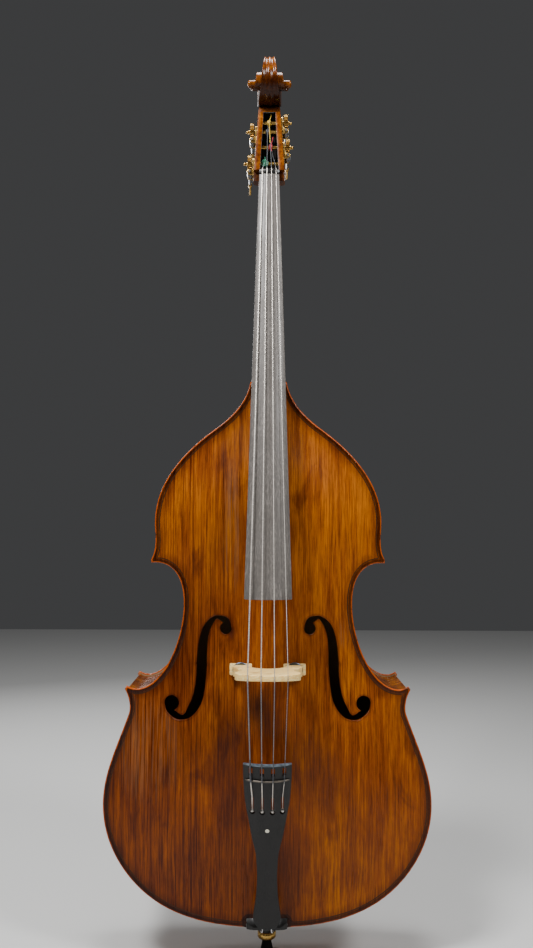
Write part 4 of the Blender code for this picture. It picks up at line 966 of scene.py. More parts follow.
def plate(outline, holes, height, facing):
    """A closed arched plate. facing is -1 for the front, whose arching rises towards -Y."""
    loops = [outline] + holes
    points, edges = [], []
    for loop in loops:
        start = len(points)
        points += [Vector(p) for p in loop]
        edges += [(start + i, start + (i + 1) % len(loop)) for i in range(len(loop))]
    points += [Vector(p) for p in sheet_points(outline, holes)]
    verts, _, faces, _, _, _ = delaunay_2d_cdt(points, edges, [], 0, 1e-7)
    spots = np.array([(v.x, v.y) for v in verts])
    triangles = np.array([face[:3] for face in faces])
    middles = spots[triangles].mean(1)
    good = within(middles, outline)
    for hole in holes:
        good &= ~within(middles, hole)
    triangles = triangles[good]

    edge = distances(spots, OUTLINE)
    rim = distances(spots, outline)
    hole_gap = np.full(len(spots), 1.0)
    for hole in holes:
        hole_gap = np.minimum(hole_gap, distances(spots, hole))
    rise = np.array([arching(x, z, d, height) for (x, z), d in zip(spots, edge)])
    free = edge > 0.016
    links = np.concatenate([triangles[:, [0, 1]], triangles[:, [1, 2]], triangles[:, [2, 0]]])
    links = np.concatenate([links, links[:, ::-1]])
    degree = np.maximum(np.bincount(links[:, 0], minlength=len(spots)), 1)
    for _ in range(int(60 * (0.0085 / PLATE_STEP) ** 2) + 4):
        mean = np.bincount(links[:, 0], weights=rise[links[:, 1]], minlength=len(spots)) / degree
        rise = np.where(free, rise + 0.5 * (mean - rise), rise)

    fall = rounding(rim, EDGE_ROUND)
    fall = np.maximum(fall, rounding(hole_gap, HOLE_ROUND))
    if facing < 0:
        outer = -rise + fall
        inner = -rise + PLATE_EDGE - fall
    else:
        plane = np.array([back_edge(z) for z in spots[:, 1]]) + GAP
        outer = plane + PLATE_EDGE + rise - fall
        inner = plane + rise + fall
    count = len(spots)
    coordinates = [(x, y, z) for face in (outer, inner) for (x, z), y in zip(spots, face)]
    skins = [tuple(t) for t in triangles] + [tuple(t[::-1] + count) for t in triangles]
    used = {}
    for t in triangles:
        for a, b in ((t[0], t[1]), (t[1], t[2]), (t[2], t[0])):
            used[(a, b)] = used.get((a, b), 0) + 1
    walls = [(b, a, a + count, b + count) for a, b in used if (b, a) not in used]
    mesh = bpy.data.meshes.new("plate")
    mesh.from_pydata(coordinates, [], [tuple(int(i) for i in face) for face in skins + walls])
    for label, values in (("edge", (rim, rim)), ("hole", (hole_gap, hole_gap)),
                          ("inner", (np.zeros(count), np.clip(np.minimum(rim, hole_gap) / 0.002 - 1, 0, 1)))):
        layer = mesh.attributes.new(label, "FLOAT", "POINT")
        layer.data.foreach_set("value", np.concatenate(values).astype(np.float32))
    bm = bmesh.new()
    bm.from_mesh(mesh)
    bpy.data.meshes.remove(mesh)
    bmesh.ops.delete(bm, geom=[v for v in bm.verts if not v.link_faces], context="VERTS")
    return settled(bm, 50, 0)


PURFLING_STRIPS = (("outer", 0.0087, 0.00085, PURFLING), ("middle", 0.0095, 0.0008, PURFLING_MIDDLE),
                   ("inner", 0.0103, 0.00085, PURFLING))


def purfling(name, half, facing):
    """Three thin strips let into a plate beside its edge, on both sides."""
    def surface(z):
        return 0.0009 if facing < 0 else back_edge(z) + GAP + PLATE_EDGE - 0.0009

    for word, depth, width, finish in PURFLING_STRIPS:
        moved = offset(half, depth)
        clear = distances(moved, OUTLINE) > depth * 0.985
        path = [p for p, good in zip(moved, clear) if good and (facing > 0 or p[0] > 0.043 or p[1] > 0.5)]
        path = [(0.0, path[0][1])] + path if facing > 0 else path
        section = [(-width / 2, -0.0003), (width / 2, -0.0003), (width / 2, 0.0002), (-width / 2, 0.0002)]
        strips = [sweep([(side * x, surface(z), z) for x, z in path], section, up=(0, facing, 0))
                  for side in (-1, 1)]
        piece(name + "_" + word, joined(*strips), finish)


def build_plates():
    notch = [(0.0413, 0), (0.0413, 0.0192), (-0.0413, 0.0192), (-0.0413, 0)]
    half = [p for p in HALF if p[0] > 0.044 or p[1] > 0.5]
    hole = sound_hole()
    front = plate(half + notch + mirrored(half), [hole, mirrored(hole)], TOP_ARCH, -1)
    piece("front_plate", front, SPRUCE, stands_for=["top_plate"])
    purfling("front_purfling", HALF, -1)
    button = [(0.022 * math.cos(a), BODY_LENGTH + 0.006 + 0.022 * math.sin(a))
              for a in (math.pi * (24 - i) / 24 for i in range(25))]
    back = plate(button + OUTLINE, [], BACK_ARCH, 1)
    piece("rear_plate", back, MAPLE_BACK, stands_for=["back_plate"])
    purfling("back_purfling", HALF, 1)


# ---------------------------------------------------------------- ribs
def corner_line(corner, before, after):
    """The mitre line of a corner: its point and its direction into the body."""
    def step_in(path, tip):
        return next(Vector(p) for p in path if (Vector(p) - tip).length > 0.012)

    tip = (Vector(corner[0]) + Vector(corner[1])) / 2
    a = (step_in(list(reversed(before)), tip) - tip).normalized()
    b = (step_in(after, tip) - tip).normalized()
    return tip, (a + b).normalized()


def trimmed(curve, depth, lines):
    """A curve moved inwards by a depth and cut off at the mitre lines at its ends."""
    path = offset(curve, depth)
    first = Vector(path[0]) + (Vector(path[0]) - Vector(path[1])).normalized() * 0.02
    last = Vector(path[-1]) + (Vector(path[-1]) - Vector(path[-2])).normalized() * 0.02
    path = [tuple(first)] + path + [tuple(last)]
    middle = Vector(curve[len(curve) // 2])
    for anchor, along in lines:
        normal = Vector((-along.y, along.x))
        if (middle - anchor).dot(normal) < 0:
            normal = -normal
        kept = []
        for a, b in zip(path, path[1:]):
            da, db = (Vector(a) - anchor).dot(normal), (Vector(b) - anchor).dot(normal)
            if da >= 0 and not kept:
                kept.append(a)
            if (da < 0) != (db < 0):
                t = da / (da - db)
                kept.append((mix(a[0], b[0], t), mix(a[1], b[1], t)))
            if db >= 0:
                kept.append(b)
        path = kept
    return path


def resampled(path, count):
    """A path with evenly spaced points, and its length."""
    points = np.array(path)
    run = np.concatenate([[0], np.cumsum(np.hypot(*np.diff(points, axis=0).T))])
    even = np.linspace(0, run[-1], count)
    return list(zip(np.interp(even, run, points[:, 0]), np.interp(even, run, points[:, 1]))), run[-1]


def build_ribs():
    """Six bent ribs between the plates."""
    upper, middle, lower = upper_curve(), middle_curve(), lower_curve()
    upper_mitre = corner_line(UPPER_CORNER, upper, middle)
    lower_mitre = corner_line(LOWER_CORNER, middle, lower)
    top_line = (Vector((0, BODY_LENGTH - 0.0025)), Vector((1, 0)))
    middle_line = (Vector((0, 0)), Vector((0, 1)))
    front = PLATE_EDGE + GAP
    ribs = (("upper", upper, (top_line, upper_mitre)), ("centre", middle, (upper_mitre, lower_mitre)),
            ("lower", lower, (lower_mitre, middle_line)))
    count = 150
    for word, curve, lines in ribs:
        outer, length = resampled(trimmed(curve, OVERHANG, lines), count)
        inner, _ = resampled(trimmed(curve, OVERHANG + RIB_THICKNESS, lines), count)
        for side, name in ((-1, "bass"), (1, "treble")):
            rings = []
            for (xo, zo), (xi, zi) in zip(outer, inner):
                rings.append([(side * xo, front, zo), (side * xo, back_edge(zo), zo),
                              (side * xi, back_edge(zi), zi), (side * xi, front, zi)])
            mesh = skin(rings)
            layer = mesh.attributes.new("along", "FLOAT", "POINT")
            values = [mix(0, length, (i // 4) / (count - 1)) for i in range(count * 4)]
            layer.data.foreach_set("value", np.array(values, np.float32))
            if word == "lower":
                mesh = carved(mesh, [turned([(PLUG_HOLE, 0.05), (PLUG_HOLE, -0.05)], (0, ENDPIN_Y, 0.0))])
            piece(word + "_bout_rib_" + name, mesh, MAPLE_RIB,
                  stands_for=[word + "_rib_" + name])


# ---------------------------------------------------------------- fingerboard, nut and neck
def board_middle(z):
    return 0.042 + (z - NUT_HEIGHT) * 0.2119


def board_under(z):
    return 0.056 + (z - NUT_HEIGHT) * 0.1987


def board_share(z):
    return share(BOARD_TOP - z, 0, BOARD_TOP - BOARD_END)


def board_half(z):
    return mix(BOARD_WIDTH[0], BOARD_WIDTH[1], board_share(z)) / 2


def board_section(z, shrink=0.0):
    """The rounded playing face, two small shoulders, and a flat underside."""
    half = board_half(z) - shrink
    radius = mix(BOARD_RADIUS[0], BOARD_RADIUS[1], board_share(z))
    shoulder = 0.0012
    top = []
    for k in range(-16, 17):
        x = (half - shoulder) * k / 16
        top.append((x, board_middle(z) + radius - math.sqrt(radius * radius - x * x) + shrink * 0.7, z))
    edge_y = top[-1][1]
    under = board_under(z) - shrink
    right = [(half - shoulder * 0.3, edge_y + shoulder * 0.45, z), (half, edge_y + shoulder * 1.2, z),
             (half, under - 0.0008, z), (half - 0.0008, under, z)]
    left = [(-x, y, height) for x, y, height in reversed(right)]
    return top + right + left


def build_fingerboard():
    rings = [board_section(BOARD_END, 0.0007)]
    rings += [board_section(mix(BOARD_END + 0.0007, BOARD_TOP, i / 48)) for i in range(49)]
    piece("playing_board", skin(rings), BOARD, stands_for=["fingerboard"])


def nut_top(x):
    return board_middle(NUT_HEIGHT) - 0.0022 + x * x / (2 * BOARD_RADIUS[0])


def build_nut():
    half = BOARD_WIDTH[0] / 2
    top = [(half * k / 24, nut_top(half * k / 24)) for k in range(-24, 25)]
    loop = top + [(half, board_under(BOARD_TOP)), (-half, board_under(BOARD_TOP))]
    mesh = prism(loop, BOARD_TOP + GAP, BOARD_TOP + 0.0103, "XY", 0.0009, 3)
    piece("string_nut", mesh, EBONY, stands_for=["nut"])


def neck_section(z, front, depth, half, power=2.5):
    """A D: flat under the fingerboard, round behind."""
    ring = []
    for i in range(37):
        a = math.pi * i / 36
        x = half * math.copysign(abs(math.cos(a)) ** (2 / power), math.cos(a))
        ring.append((x, front + depth * math.sin(a) ** (2 / power), z))
    return ring


def build_neck():
    """Heel and shaft."""
    rear = back_edge(BODY_LENGTH)
    heel = [(BODY_LENGTH + 0.0006, rear), (1.137, rear), (1.143, rear - 0.008), (1.154, 0.118),
            (1.168, 0.086), (1.186, 0.058), (1.210, 0.036)]
    stations = [(z, y - board_under(z), 4.5 - 2.0 * share(z, 1.13, 1.22)) for z, y in heel]
    stations += [(1.245, 0.0320, 2.4), (1.35, 0.0300, 2.3), (1.47, 0.0285, 2.3), (1.572, 0.0285, 2.4)]
    rings = []
    for z, depth, power in through(stations, 6):
        half = board_half(z) - GAP
        rings.append(neck_section(z, board_under(z) + GAP, depth, half, max(2.0, power)))
    tenon = prism([(-0.0285, PLATE_EDGE + 2 * GAP), (0.0285, PLATE_EDGE + 2 * GAP), (0.0285, rear - GAP),
                   (-0.0285, rear - GAP)], 1.0905, BODY_LENGTH + 0.004, "XY")
    mesh = joined(skin(rings), tenon)
    piece("neck_shaft", mesh, MAPLE_NECK, stands_for=["neck"])


def pegbox_share(z):
    return (z - PEGBOX_LOW[0]) / (PEGBOX_HIGH[0] - PEGBOX_LOW[0])


def pegbox_side(z):
    return mix(PEGBOX_HALF[0], PEGBOX_HALF[1], pegbox_share(z))


PEGBOX_REAR = table([(1.556, 0.084), (1.572, 0.094), (1.590, 0.105), (1.625, 0.118), (1.680, 0.132),
                     (1.735, 0.1425), (1.775, 0.139)])
PEGBOX_FLOOR = table([(1.583, 0.0490), (1.590, 0.083), (1.603, 0.096), (1.630, 0.109), (1.680, 0.121),
                      (1.722, 0.129), (1.729, 0.115), (1.7312, 0.0950)])
NECK_MEETS = 1.5816


def pegbox_front(z):
    if z < NECK_MEETS:
        return 0.0566
    if z > PEGBOX_HIGH[0]:
        return mix(PEGBOX_HIGH[1], 0.112, ease(share(z, PEGBOX_HIGH[0], 1.768)))
    return mix(PEGBOX_LOW[1], PEGBOX_HIGH[1], pegbox_share(z))


def pegbox_section(z, hollow):
    """A U open to the front, with softened edges; without its hollow, a rounded block."""
    half = pegbox_side(z)
    if z > PEGBOX_HIGH[0]:
        half = mix(half, 0.0205, ease(share(z, PEGBOX_HIGH[0], 1.772)))
    front, rear = pegbox_front(z), PEGBOX_REAR(z)
    inner = mix(CAVITY_HALF[0], CAVITY_HALF[1], pegbox_share(z))
    floor = max(PEGBOX_FLOOR(z), front + 0.0006) if hollow else front + 0.0004
    soft, round_in = 0.0016, 0.003 if hollow else 0.0001
    corner = 0.011
    right = [(inner, floor - round_in), (inner, front + soft), (inner + soft * 0.3, front + soft * 0.3),
             (inner + soft, front), (half - soft, front), (half - soft * 0.3, front + soft * 0.3),
             (half, front + soft), (half, rear - corner), (half - 0.0016, rear - 0.0058),
             (half - 0.0055, rear - 0.0018), (half - corner, rear)]
    if not hollow:
        right[:4] = [(inner + 0.0004 * k, front) for k in range(4)]
    left = [(-x, y) for x, y in reversed(right)]
    base = [(-inner + round_in, floor), (inner - round_in, floor)]
    return [(x, y, z) for x, y in right + left + base]


def build_pegbox():
    heights = [1.5605, 1.572, NECK_MEETS - 0.0002]
    rings = [pegbox_section(z, False) for z in heights]
    hollow = [NECK_MEETS + 0.0004, 1.5840, 1.5870] + [mix(1.590, 1.722, i / 22) for i in range(23)]
    rings += [pegbox_section(z, True) for z in hollow + [1.727, 1.7305]]
    rings += [pegbox_section(z, False) for z in [1.7315] + [mix(1.735, 1.772, i / 8) for i in range(9)]]
    mesh = skin(rings)
    holes = []
    for name in STRINGS:
        holes.append(drill(ROLLER_RADIUS + GAP, 0.06, joint_centre("turn_roller_" + name), "X"))
    piece("pegbox", carved(mesh, holes), MAPLE_NECK)


# ---------------------------------------------------------------- scroll
SCROLL_RADIUS = table([(-55, 0.0740), (-25, 0.0660), (0, 0.0616), (45, 0.0588), (90, 0.0572),
                       (135, 0.0568), (180, 0.0565), (225, 0.0535), (270, 0.0490), (305, 0.0440),
                       (360, 0.0345), (405, 0.0290), (450, 0.0262), (540, 0.0226), (585, 0.0192),
                       (630, 0.0152), (675, 0.0116), (720, 0.0098), (765, 0.0092), (810, 0.0089),
                       (900, 0.0087), (990, 0.0085)])
SCROLL_HALF = table([(-55, 0.0262), (-40, 0.0240), (-25, 0.0196), (0, 0.0156), (45, 0.0118),
                     (90, 0.0098), (135, 0.0122), (180, 0.0168), (225, 0.0218), (270, 0.0262),
                     (305, 0.0270), (360, 0.0272), (405, 0.0275), (450, 0.0280), (495, 0.0290),
                     (540, 0.0312), (585, 0.0350), (630, 0.0395), (675, 0.0435), (720, 0.0470),
                     (810, 0.0480), (900, 0.0484), (990, 0.0486)])
SCROLL_START, SCROLL_END, SCROLL_STEP = -55, 989, 4
DISH = 0.0028
CHAMFER = 0.0013
EYE_CHAMFER = 0.0048
FLUTE = 0.0024


def scroll_column(degrees, side):
    """One radial slice of the scroll: the turn's outer wall, its chamfer and its dished side."""
    radius, half = SCROLL_RADIUS(degrees), SCROLL_HALF(degrees)
    soft = mix(CHAMFER, EYE_CHAMFER, share(degrees, 600, 740))
    edge = half - soft
    outermost = degrees <= SCROLL_START + 360
    points = []
    if outermost:
        for i in range(13):
            t = i / 12
            flute = FLUTE * math.sin(math.pi * share(t, 0.10, 0.92)) ** 1.5
            points.append((radius - flute, edge * t))
    else:
        foot = SCROLL_HALF(degrees - 360) - DISH
        for i in range(13):
            points.append((radius, mix(min(foot, edge), edge, i / 12)))
    points += [(radius - soft * (1 - math.cos(a)), half - soft * (1 - math.sin(a)))
               for a in (math.pi * k / 10 for k in range(1, 6))]
    inner = SCROLL_RADIUS(degrees + 360) if degrees + 360 <= SCROLL_END else 0.0
    dish = DISH if inner else -0.0008
    for i in range(1, 9):
        t = i / 8
        depth = math.sin(t * math.pi / 2) * dish
        points.append((mix(radius - soft, inner, t), half - depth))
    angle = math.radians(degrees)
    y, z = SCROLL_CENTRE
    return [(side * x, y + r * math.cos(angle), z + r * math.sin(angle)) for r, x in points]


def build_scroll():
    bm = bmesh.new()
    angles = list(range(SCROLL_START, SCROLL_END + 1, SCROLL_STEP))
    for side in (-1, 1):
        columns = [[bm.verts.new(p) for p in scroll_column(a, side)] for a in angles]
        for near, far in zip(columns, columns[1:]):
            for i in range(len(near) - 1):
                bm.faces.new((near[i], near[i + 1], far[i + 1], far[i]))
    bmesh.ops.remove_doubles(bm, verts=bm.verts, dist=0.00006)
    bmesh.ops.dissolve_degenerate(bm, edges=bm.edges, dist=0.00002)
    bmesh.ops.holes_fill(bm, edges=[edge for edge in bm.edges if edge.is_boundary], sides=0)
    piece("scroll", settled(bm, 40, 0), MAPLE_NECK)


# ---------------------------------------------------------------- tuning machines
PITCH = 2 * math.pi * (GEAR_RADIUS + GEAR_ROOT) / 2 / GEAR_TEETH
Z_TO_X = Matrix(((0, 0, 1, 0), (1, 0, 0, 0), (0, 1, 0, 0), (0, 0, 0, 1)))


def gear_tooth():
    """One tooth, standing out from the gear's rim along X, with rounded tips."""
    root, tip = PITCH * 0.34, PITCH * 0.17
    low, high = -0.0006, GEAR_RADIUS - GEAR_ROOT
    loop = [(low, -root), (high * 0.72, -tip * 1.12), (high, -tip * 0.72), (high, tip * 0.72),
            (high * 0.72, tip * 1.12), (low, root)]
    return prism(loop, -GEAR_WIDTH / 2, GEAR_WIDTH / 2, "XY", 0.0002, 1)


def screw_head(radius, height, side):
    """A domed, slotted screw head standing out along X."""
    profile = [(0, height), (radius * 0.5, height * 0.93), (radius * 0.85, height * 0.6),
               (radius, height * 0.1), (radius, -0.0004), (0, -0.0004)]
    head = turned([(r, side * h) for r, h in profile], (0, 0, 0), "X", 16)
    wide, long = radius * 0.14, radius * 1.2
    slot = prism([(-wide, -long), (wide, -long), (wide, long), (-wide, long)],
                 *sorted((side * height * 0.55, side * height * 1.6)), "YZ")
    return carved(head, [slot])


def build_gear(name, centre, side, axis_x):
    """A brass wheel with its teeth, hub and screw, and the roller it turns."""
    body = "roller_" + name
    half = GEAR_WIDTH / 2
    bore = ROLLER_RADIUS + GAP
    profile = [(bore, half), (0.0085, half), (0.0092, half - 0.0009), (0.0128, half - 0.0009), (0.0136, half),
               (GEAR_ROOT, half), (GEAR_ROOT, -half), (bore, -half)]
    middle = (side * axis_x, centre.y, centre.z)
    wheel = turned([(r, side * h) for r, h in profile], middle, "X", 78, True)
    piece("gear_wheel_" + name, wheel, OLD_BRASS, body, ["gear_" + name])
    values = {"Count": GEAR_TEETH, "Radius": GEAR_ROOT, "Material": BRASS}
    teeth = grown(RING_TREE, values, pattern=gear_tooth())
    teeth.transform(Matrix.Translation(middle) @ Z_TO_X)
    piece("gear_teeth_" + name, teeth, BRASS, body)

    end = axis_x + half
    tail = -(pegbox_side(centre.z) - 0.0025)
    profile = [(0, end + 0.0095), (0.0013, end + 0.0093), (0.0024, end + 0.0085), (0.0031, end + 0.0073),
               (0.0033, end + 0.0062), (0.0028, end + 0.0050), (0.0020, end + 0.0042), (0.0038, end + 0.0036),
               (0.0044, end + 0.0030), (ROLLER_RADIUS, end + 0.0012), (ROLLER_RADIUS, tail + 0.0004),
               (ROLLER_RADIUS - 0.0004, tail), (0, tail)]
    barrel = turned([(r, side * h) for r, h in profile], (0, centre.y, centre.z), "X", 32)
    piece("string_roller_" + name, barrel, BRASS, body, ["roller_" + name])


def build_worm(name, centre):
    """A steel worm with a right-hand thread, its shaft and its brass key."""
    body = "key_" + name
    profile = [(0, -0.0215), (SHAFT_RADIUS - 0.0006, -0.0214), (SHAFT_RADIUS, -0.0206),
               (SHAFT_RADIUS, -WORM_HALF), (WORM_CORE, -WORM_HALF), (WORM_CORE, WORM_HALF),
               (SHAFT_RADIUS, WORM_HALF + 0.0004),
               (SHAFT_RADIUS, KEY_REACH - 0.002), (0, KEY_REACH - 0.002)]
    shaft = turned(profile, centre, "Y", 28)
    thread_half = WORM_HALF - 0.0016
    count = int(2 * thread_half / PITCH * 26)
    path, ups = [], []
    for i in range(count + 1):
        along = mix(-thread_half, thread_half, i / count)
        a = 2 * math.pi * along / PITCH
        out = Vector((math.sin(a), 0, math.cos(a)))
        path.append(centre + Vector((0, along, 0)) + out * WORM_CORE)
        ups.append(tuple(out))
    height = WORM_RADIUS - WORM_CORE
    section = [(-0.0011, -0.0004), (0.0011, -0.0004), (0.00042, height), (-0.00042, height)]
    thread = sweep(path, section, up=ups)
    piece("worm_screw_" + name, joined(shaft, thread), STEEL, body, ["worm_" + name])

    reach = KEY_REACH
    wing = [(0.0040, reach + 0.0010), (0.0062, reach + 0.0035), (0.0125, reach + 0.0078),
            (0.0163, reach + 0.0150), (0.0157, reach + 0.0225), (0.0115, reach + 0.0280),
            (0.0055, reach + 0.0305), (0.0, reach + 0.0290)]
    right = through(wing, 4)
    loop = [(centre.y + s, centre.z + x) for x, s in right + mirrored(right[:-1])]
    blade = prism(loop, centre.x - 0.0022, centre.x + 0.0022, "YZ", 0.0015, 3)
    profile = [(0, reach - 0.0035), (0.0034, reach - 0.0035), (0.0046, reach - 0.0022),
               (0.0046, reach - 0.0004), (0.0036, reach + 0.0008), (0.0042, reach + 0.0030),
               (0.0042, reach + 0.0105), (0.0028, reach + 0.0125), (0, reach + 0.0130)]
    collar = turned(profile, centre, "Y", 24)
    piece("brass_key_" + name, joined(blade, collar), BRASS, body)


def build_machine_plate(name, centre, worm, side):
    """The brass base plate with its two bearing posts and its screws."""
    foot = pegbox_side(worm.z - 0.008) + GAP
    y, z = centre.y, centre.z
    drop = z - worm.z
    top = [(y + 0.0135 * math.cos(a), z + 0.0135 * math.sin(a))
           for a in (math.pi * i / 18 for i in range(19))]
    flank = [(0.0145, z - 0.006), (0.0185, z - drop + 0.0095), (0.0190, z - drop + 0.006),
             (0.0190, z - drop - 0.006), (0.0175, z - drop - 0.008)]
    rim = top + [(y - a, h) for a, h in flank] + [(y + a, h) for a, h in reversed(flank)]
    base = prism(rim, 0.0, 0.001, "YZ", 0.0)
    for vertex in base.vertices:
        vertex.co.x = side * (foot + 0.002 if vertex.co.x > 0.0005 else pegbox_side(vertex.co.z) + GAP)
    bm = bmesh.new()
    bm.from_mesh(base)
    shapes = [settled(bm, 35, 0)]
    for way in (-1, 1):
        out, half = abs(worm.x) + 0.0050, 0.0056
        loop = [(foot + 0.0012, worm.z - half - 0.0012), (out - 0.004, worm.z - half)]
        loop += [(out - 0.004 + 0.0045 * math.sin(a), worm.z - half * math.cos(a))
                 for a in (math.pi * i / 10 for i in range(1, 10))]
        loop += [(out - 0.004, worm.z + half), (foot + 0.0012, worm.z + half + 0.0012)]
        low = y + way * 0.0155 - 0.002
        shapes.append(prism([(side * x, h) for x, h in loop], low, low + 0.004, "XZ", 0.0005, 2))
    cutters = [drill(SHAFT_RADIUS + GAP, 0.03, worm, "Y"),
               drill(ROLLER_RADIUS + GAP, 0.02, (side * foot, y, z), "X")]
    parts = [carved(shape, cutters) for shape in shapes]
    piece("base_plate_" + name, joined(*parts), BRASS, "body", ["machine_plate_" + name])
    corners = ((-0.0095, 0.0055), (0.0095, 0.0055), (-0.0105, -drop - 0.0045), (0.0105, -drop - 0.0045))
    spots = [(side * (foot + 0.002), y + dy, z + dz) for dy, dz in corners]
    heads = grown(SPOTS_TREE, {"Material": STEEL}, spots, screw_head(0.0021, 0.0009, side))
    piece("plate_screws_" + name, heads, STEEL)


SILK_TAIL = {"e": 0.009, "a": 0.008, "d": 0.0128, "g": 0.0165}
SILK_TURNS = {"e": 2.6, "a": 3.2, "d": 3.4, "g": 4.0}
SILK_WIRE = {"e": 0.0016, "a": 0.0012, "d": 0.0012, "g": 0.0013}
SILK_LOOPS = ((-0.22, 0.0072), (0.45, 0.0064))


def build_winding(name, centre):
    """The turns of silk-wrapped string round a roller, and their short loose end."""
    r = SILK_WIRE[name]
    half = 2.4 * r + 0.0018
    middle = Vector((WINDING_X[name], centre.y, centre.z))
    values = {"Radius": ROLLER_RADIUS + GAP * 0.3 + r, "Wire": r, "Turns": SILK_TURNS[name],
              "Length": 2 * (half - r), "Material": SILK[name]}
    coil = grown(COIL_TREE, values)
    coil.transform(Matrix.Translation(middle + Vector((-(half - r), 0, 0))) @ Z_TO_X)
    reach = SILK_TAIL[name]
    lean = 0.22 if name in ("d", "g") else -0.25
    out = ROLLER_RADIUS + r * 1.6
    route = [middle + Vector((0.001, -out * 0.7, out * 0.5)),
             middle + Vector((0.0012, -out * 0.45, out * 1.05)),
             middle + Vector((0.002 + reach * lean * 0.4, -out * 0.3, out + reach * 0.45)),
             middle + Vector((0.002 + reach * lean, -out * 0.5, out + reach))]
    stub = sweep(through([tuple(p) for p in route], 8), circle(r * 0.85, 10))
    shapes = [coil, stub]
    if name == "e":
        for lean, size in SILK_LOOPS:
            ring = []
            for i in range(13):
                a = math.radians(-150 + 300 * i / 12)
                ring.append(tuple(middle + Vector((size * math.sin(a) * 0.7 + lean * 0.006,
                                                   -out - 0.0012, size * math.cos(a) - 0.001))))
            shapes.append(sweep(through(ring, 3), circle(0.0011, 10)))
    piece("silk_turns_" + name, joined(*shapes), SILK[name], "roller_" + name,
          ["winding_" + name])


def build_machines():
    for name in STRINGS:
        centre = joint_centre("turn_roller_" + name)
        worm = joint_centre("turn_key_" + name)
        side = 1 if worm.x > 0 else -1
        build_gear(name, centre, side, abs(worm.x))
        build_worm(name, worm)
        build_machine_plate(name, centre, worm, side)
        build_winding(name, centre)


# ---------------------------------------------------------------- bridge
def crown_top(x):
    return BRIDGE_TOP - (CROWN_RADIUS - math.sqrt(CROWN_RADIUS ** 2 - x * x))


def build_bridge():
    """The crown, its two feet and the adjuster wheels between them."""
    leg = WHEEL[1] + GAP
    arch_points = through(millimetres((38.5, 0), (35, 20), (24, 36), (10, 43.5), (0, 45)), 5)
    arch_side = [(x, leg + h) for x, h in arch_points]
    flank = through([(0.0640, leg), (0.0672, 0.063), (0.0682, 0.073), (0.0660, 0.084), (0.060, 0.096),
                     (0.0505, 0.110), (0.052, 0.126), (0.060, 0.141), (0.0625, 0.154),
                     (CROWN_HALF, crown_top(CROWN_HALF))], 5)
    crown = [(CROWN_HALF * k / 16, crown_top(CROWN_HALF * k / 16)) for k in range(15, -1, -1)]
    right = list(reversed(arch_side)) + flank + crown
    loop = [(x, -h) for x, h in right + [(-x, h) for x, h in reversed(right[1:-1])]]
    mesh = prism(loop, *BRIDGE_Z, "XY", 0.0011, 3)
    middle = sum(BRIDGE_Z) / 2
    for vertex in mesh.vertices:
        if vertex.co.z < middle:
            vertex.co.z += 0.011 * share(-vertex.co.y, leg, BRIDGE_TOP)
    bores = [drill(0.0043, 0.05, (side * FOOT_X, -leg, middle), "Y") for side in (-1, 1)]
    notches = [prism([(BRIDGE_SPACING[n] + a, -crown_top(BRIDGE_SPACING[n]) - 0.0002 + b)
                      for a, b in circle(STRING_RADIUS[n] * 1.15, 12)], 0.50, 0.56, "XY") for n in STRINGS]
    piece("bridge_top", carved(mesh, bores + notches), BRIDGE, stands_for=["bridge_crown"])

    for side, word in ((-1, "bass"), (1, "treble")):
        rings = []
        low, high = BRIDGE_Z
        for step in range(-8, 9):
            x = side * FOOT_X + step * 0.0222 / 8
            top = -WHEEL[0] + GAP
            soft = 0.0010
            inset = 0.0008 if abs(step) == 8 else 0.0
            sole = {z: arching_front(x, z) for z in BRIDGE_Z}
            rear = [(soft, 0), (soft * 0.3, soft * 0.3), (0, soft)]
            rim = [(x, top + a + inset, high - b - inset) for a, b in rear]
            rim += [(x, top + a + inset, low + b + inset) for a, b in reversed(rear)]
            rings.append([(x, sole[low] - 0.0002, low + inset), (x, sole[high] - 0.0002, high - inset)] + rim)
        bore = drill(0.0043, 0.012, (side * FOOT_X, -WHEEL[0], middle), "Y")
        piece("bridge_leg_" + word, carved(skin(rings), [bore]), BRIDGE,
              stands_for=["bridge_foot_" + word])
        centre = (side * FOOT_X, -WHEEL[0], middle)
        thick = WHEEL[1] - WHEEL[0]
        rim = 0.0158
        profile = [(0, -0.036), (0.0035, -0.036), (0.004, -0.035), (0.004, -thick - 0.0001),
                   (0.0060, -thick), (rim - 0.0010, -thick), (rim - 0.0002, -thick + 0.0006),
                   (rim, -thick + 0.0014), (rim, -0.0014), (rim - 0.0002, -0.0006), (rim - 0.0010, 0),
                   (0.0060, 0), (0.004, 0.0001), (0.004, 0.009), (0, 0.009)]
        wheel = turned(profile, centre, "Y", 48)
        rib = prism([(-0.0003, -0.00045), (0.00025, 0.0), (-0.0003, 0.00045)], -0.0021, 0.0021, "XY")
        knurls = grown(RING_TREE, {"Count": 68, "Radius": rim, "Material": DARK_METAL}, pattern=rib)
        knurls.transform(Matrix.Translation((centre[0], centre[1] - thick / 2, centre[2]))
                         @ Matrix.Rotation(math.pi / 2, 4, "X"))
        piece("adjuster_wheel_" + word, joined(wheel, knurls), DARK_METAL,
              "adjuster_" + word, ["bridge_adjuster_" + word])


def arching_front(x, z):
    """The front plate's surface at a point."""
    edge = float(distances([(x, z)], OUTLINE)[0])
    return -arching(x, z, edge, TOP_ARCH) - 0.0007


# ---------------------------------------------------------------- tailpiece, saddle and tail wire
def tail_front(x):
    return -0.006 + x * x / (2 * TAIL_RADIUS)


def tail_point(x, n, s):
    c, d = math.cos(TAIL_ANGLE), math.sin(TAIL_ANGLE)
    return (x, TAIL_FOOT[0] + n * c - s * d, TAIL_FOOT[1] + n * d + s * c)


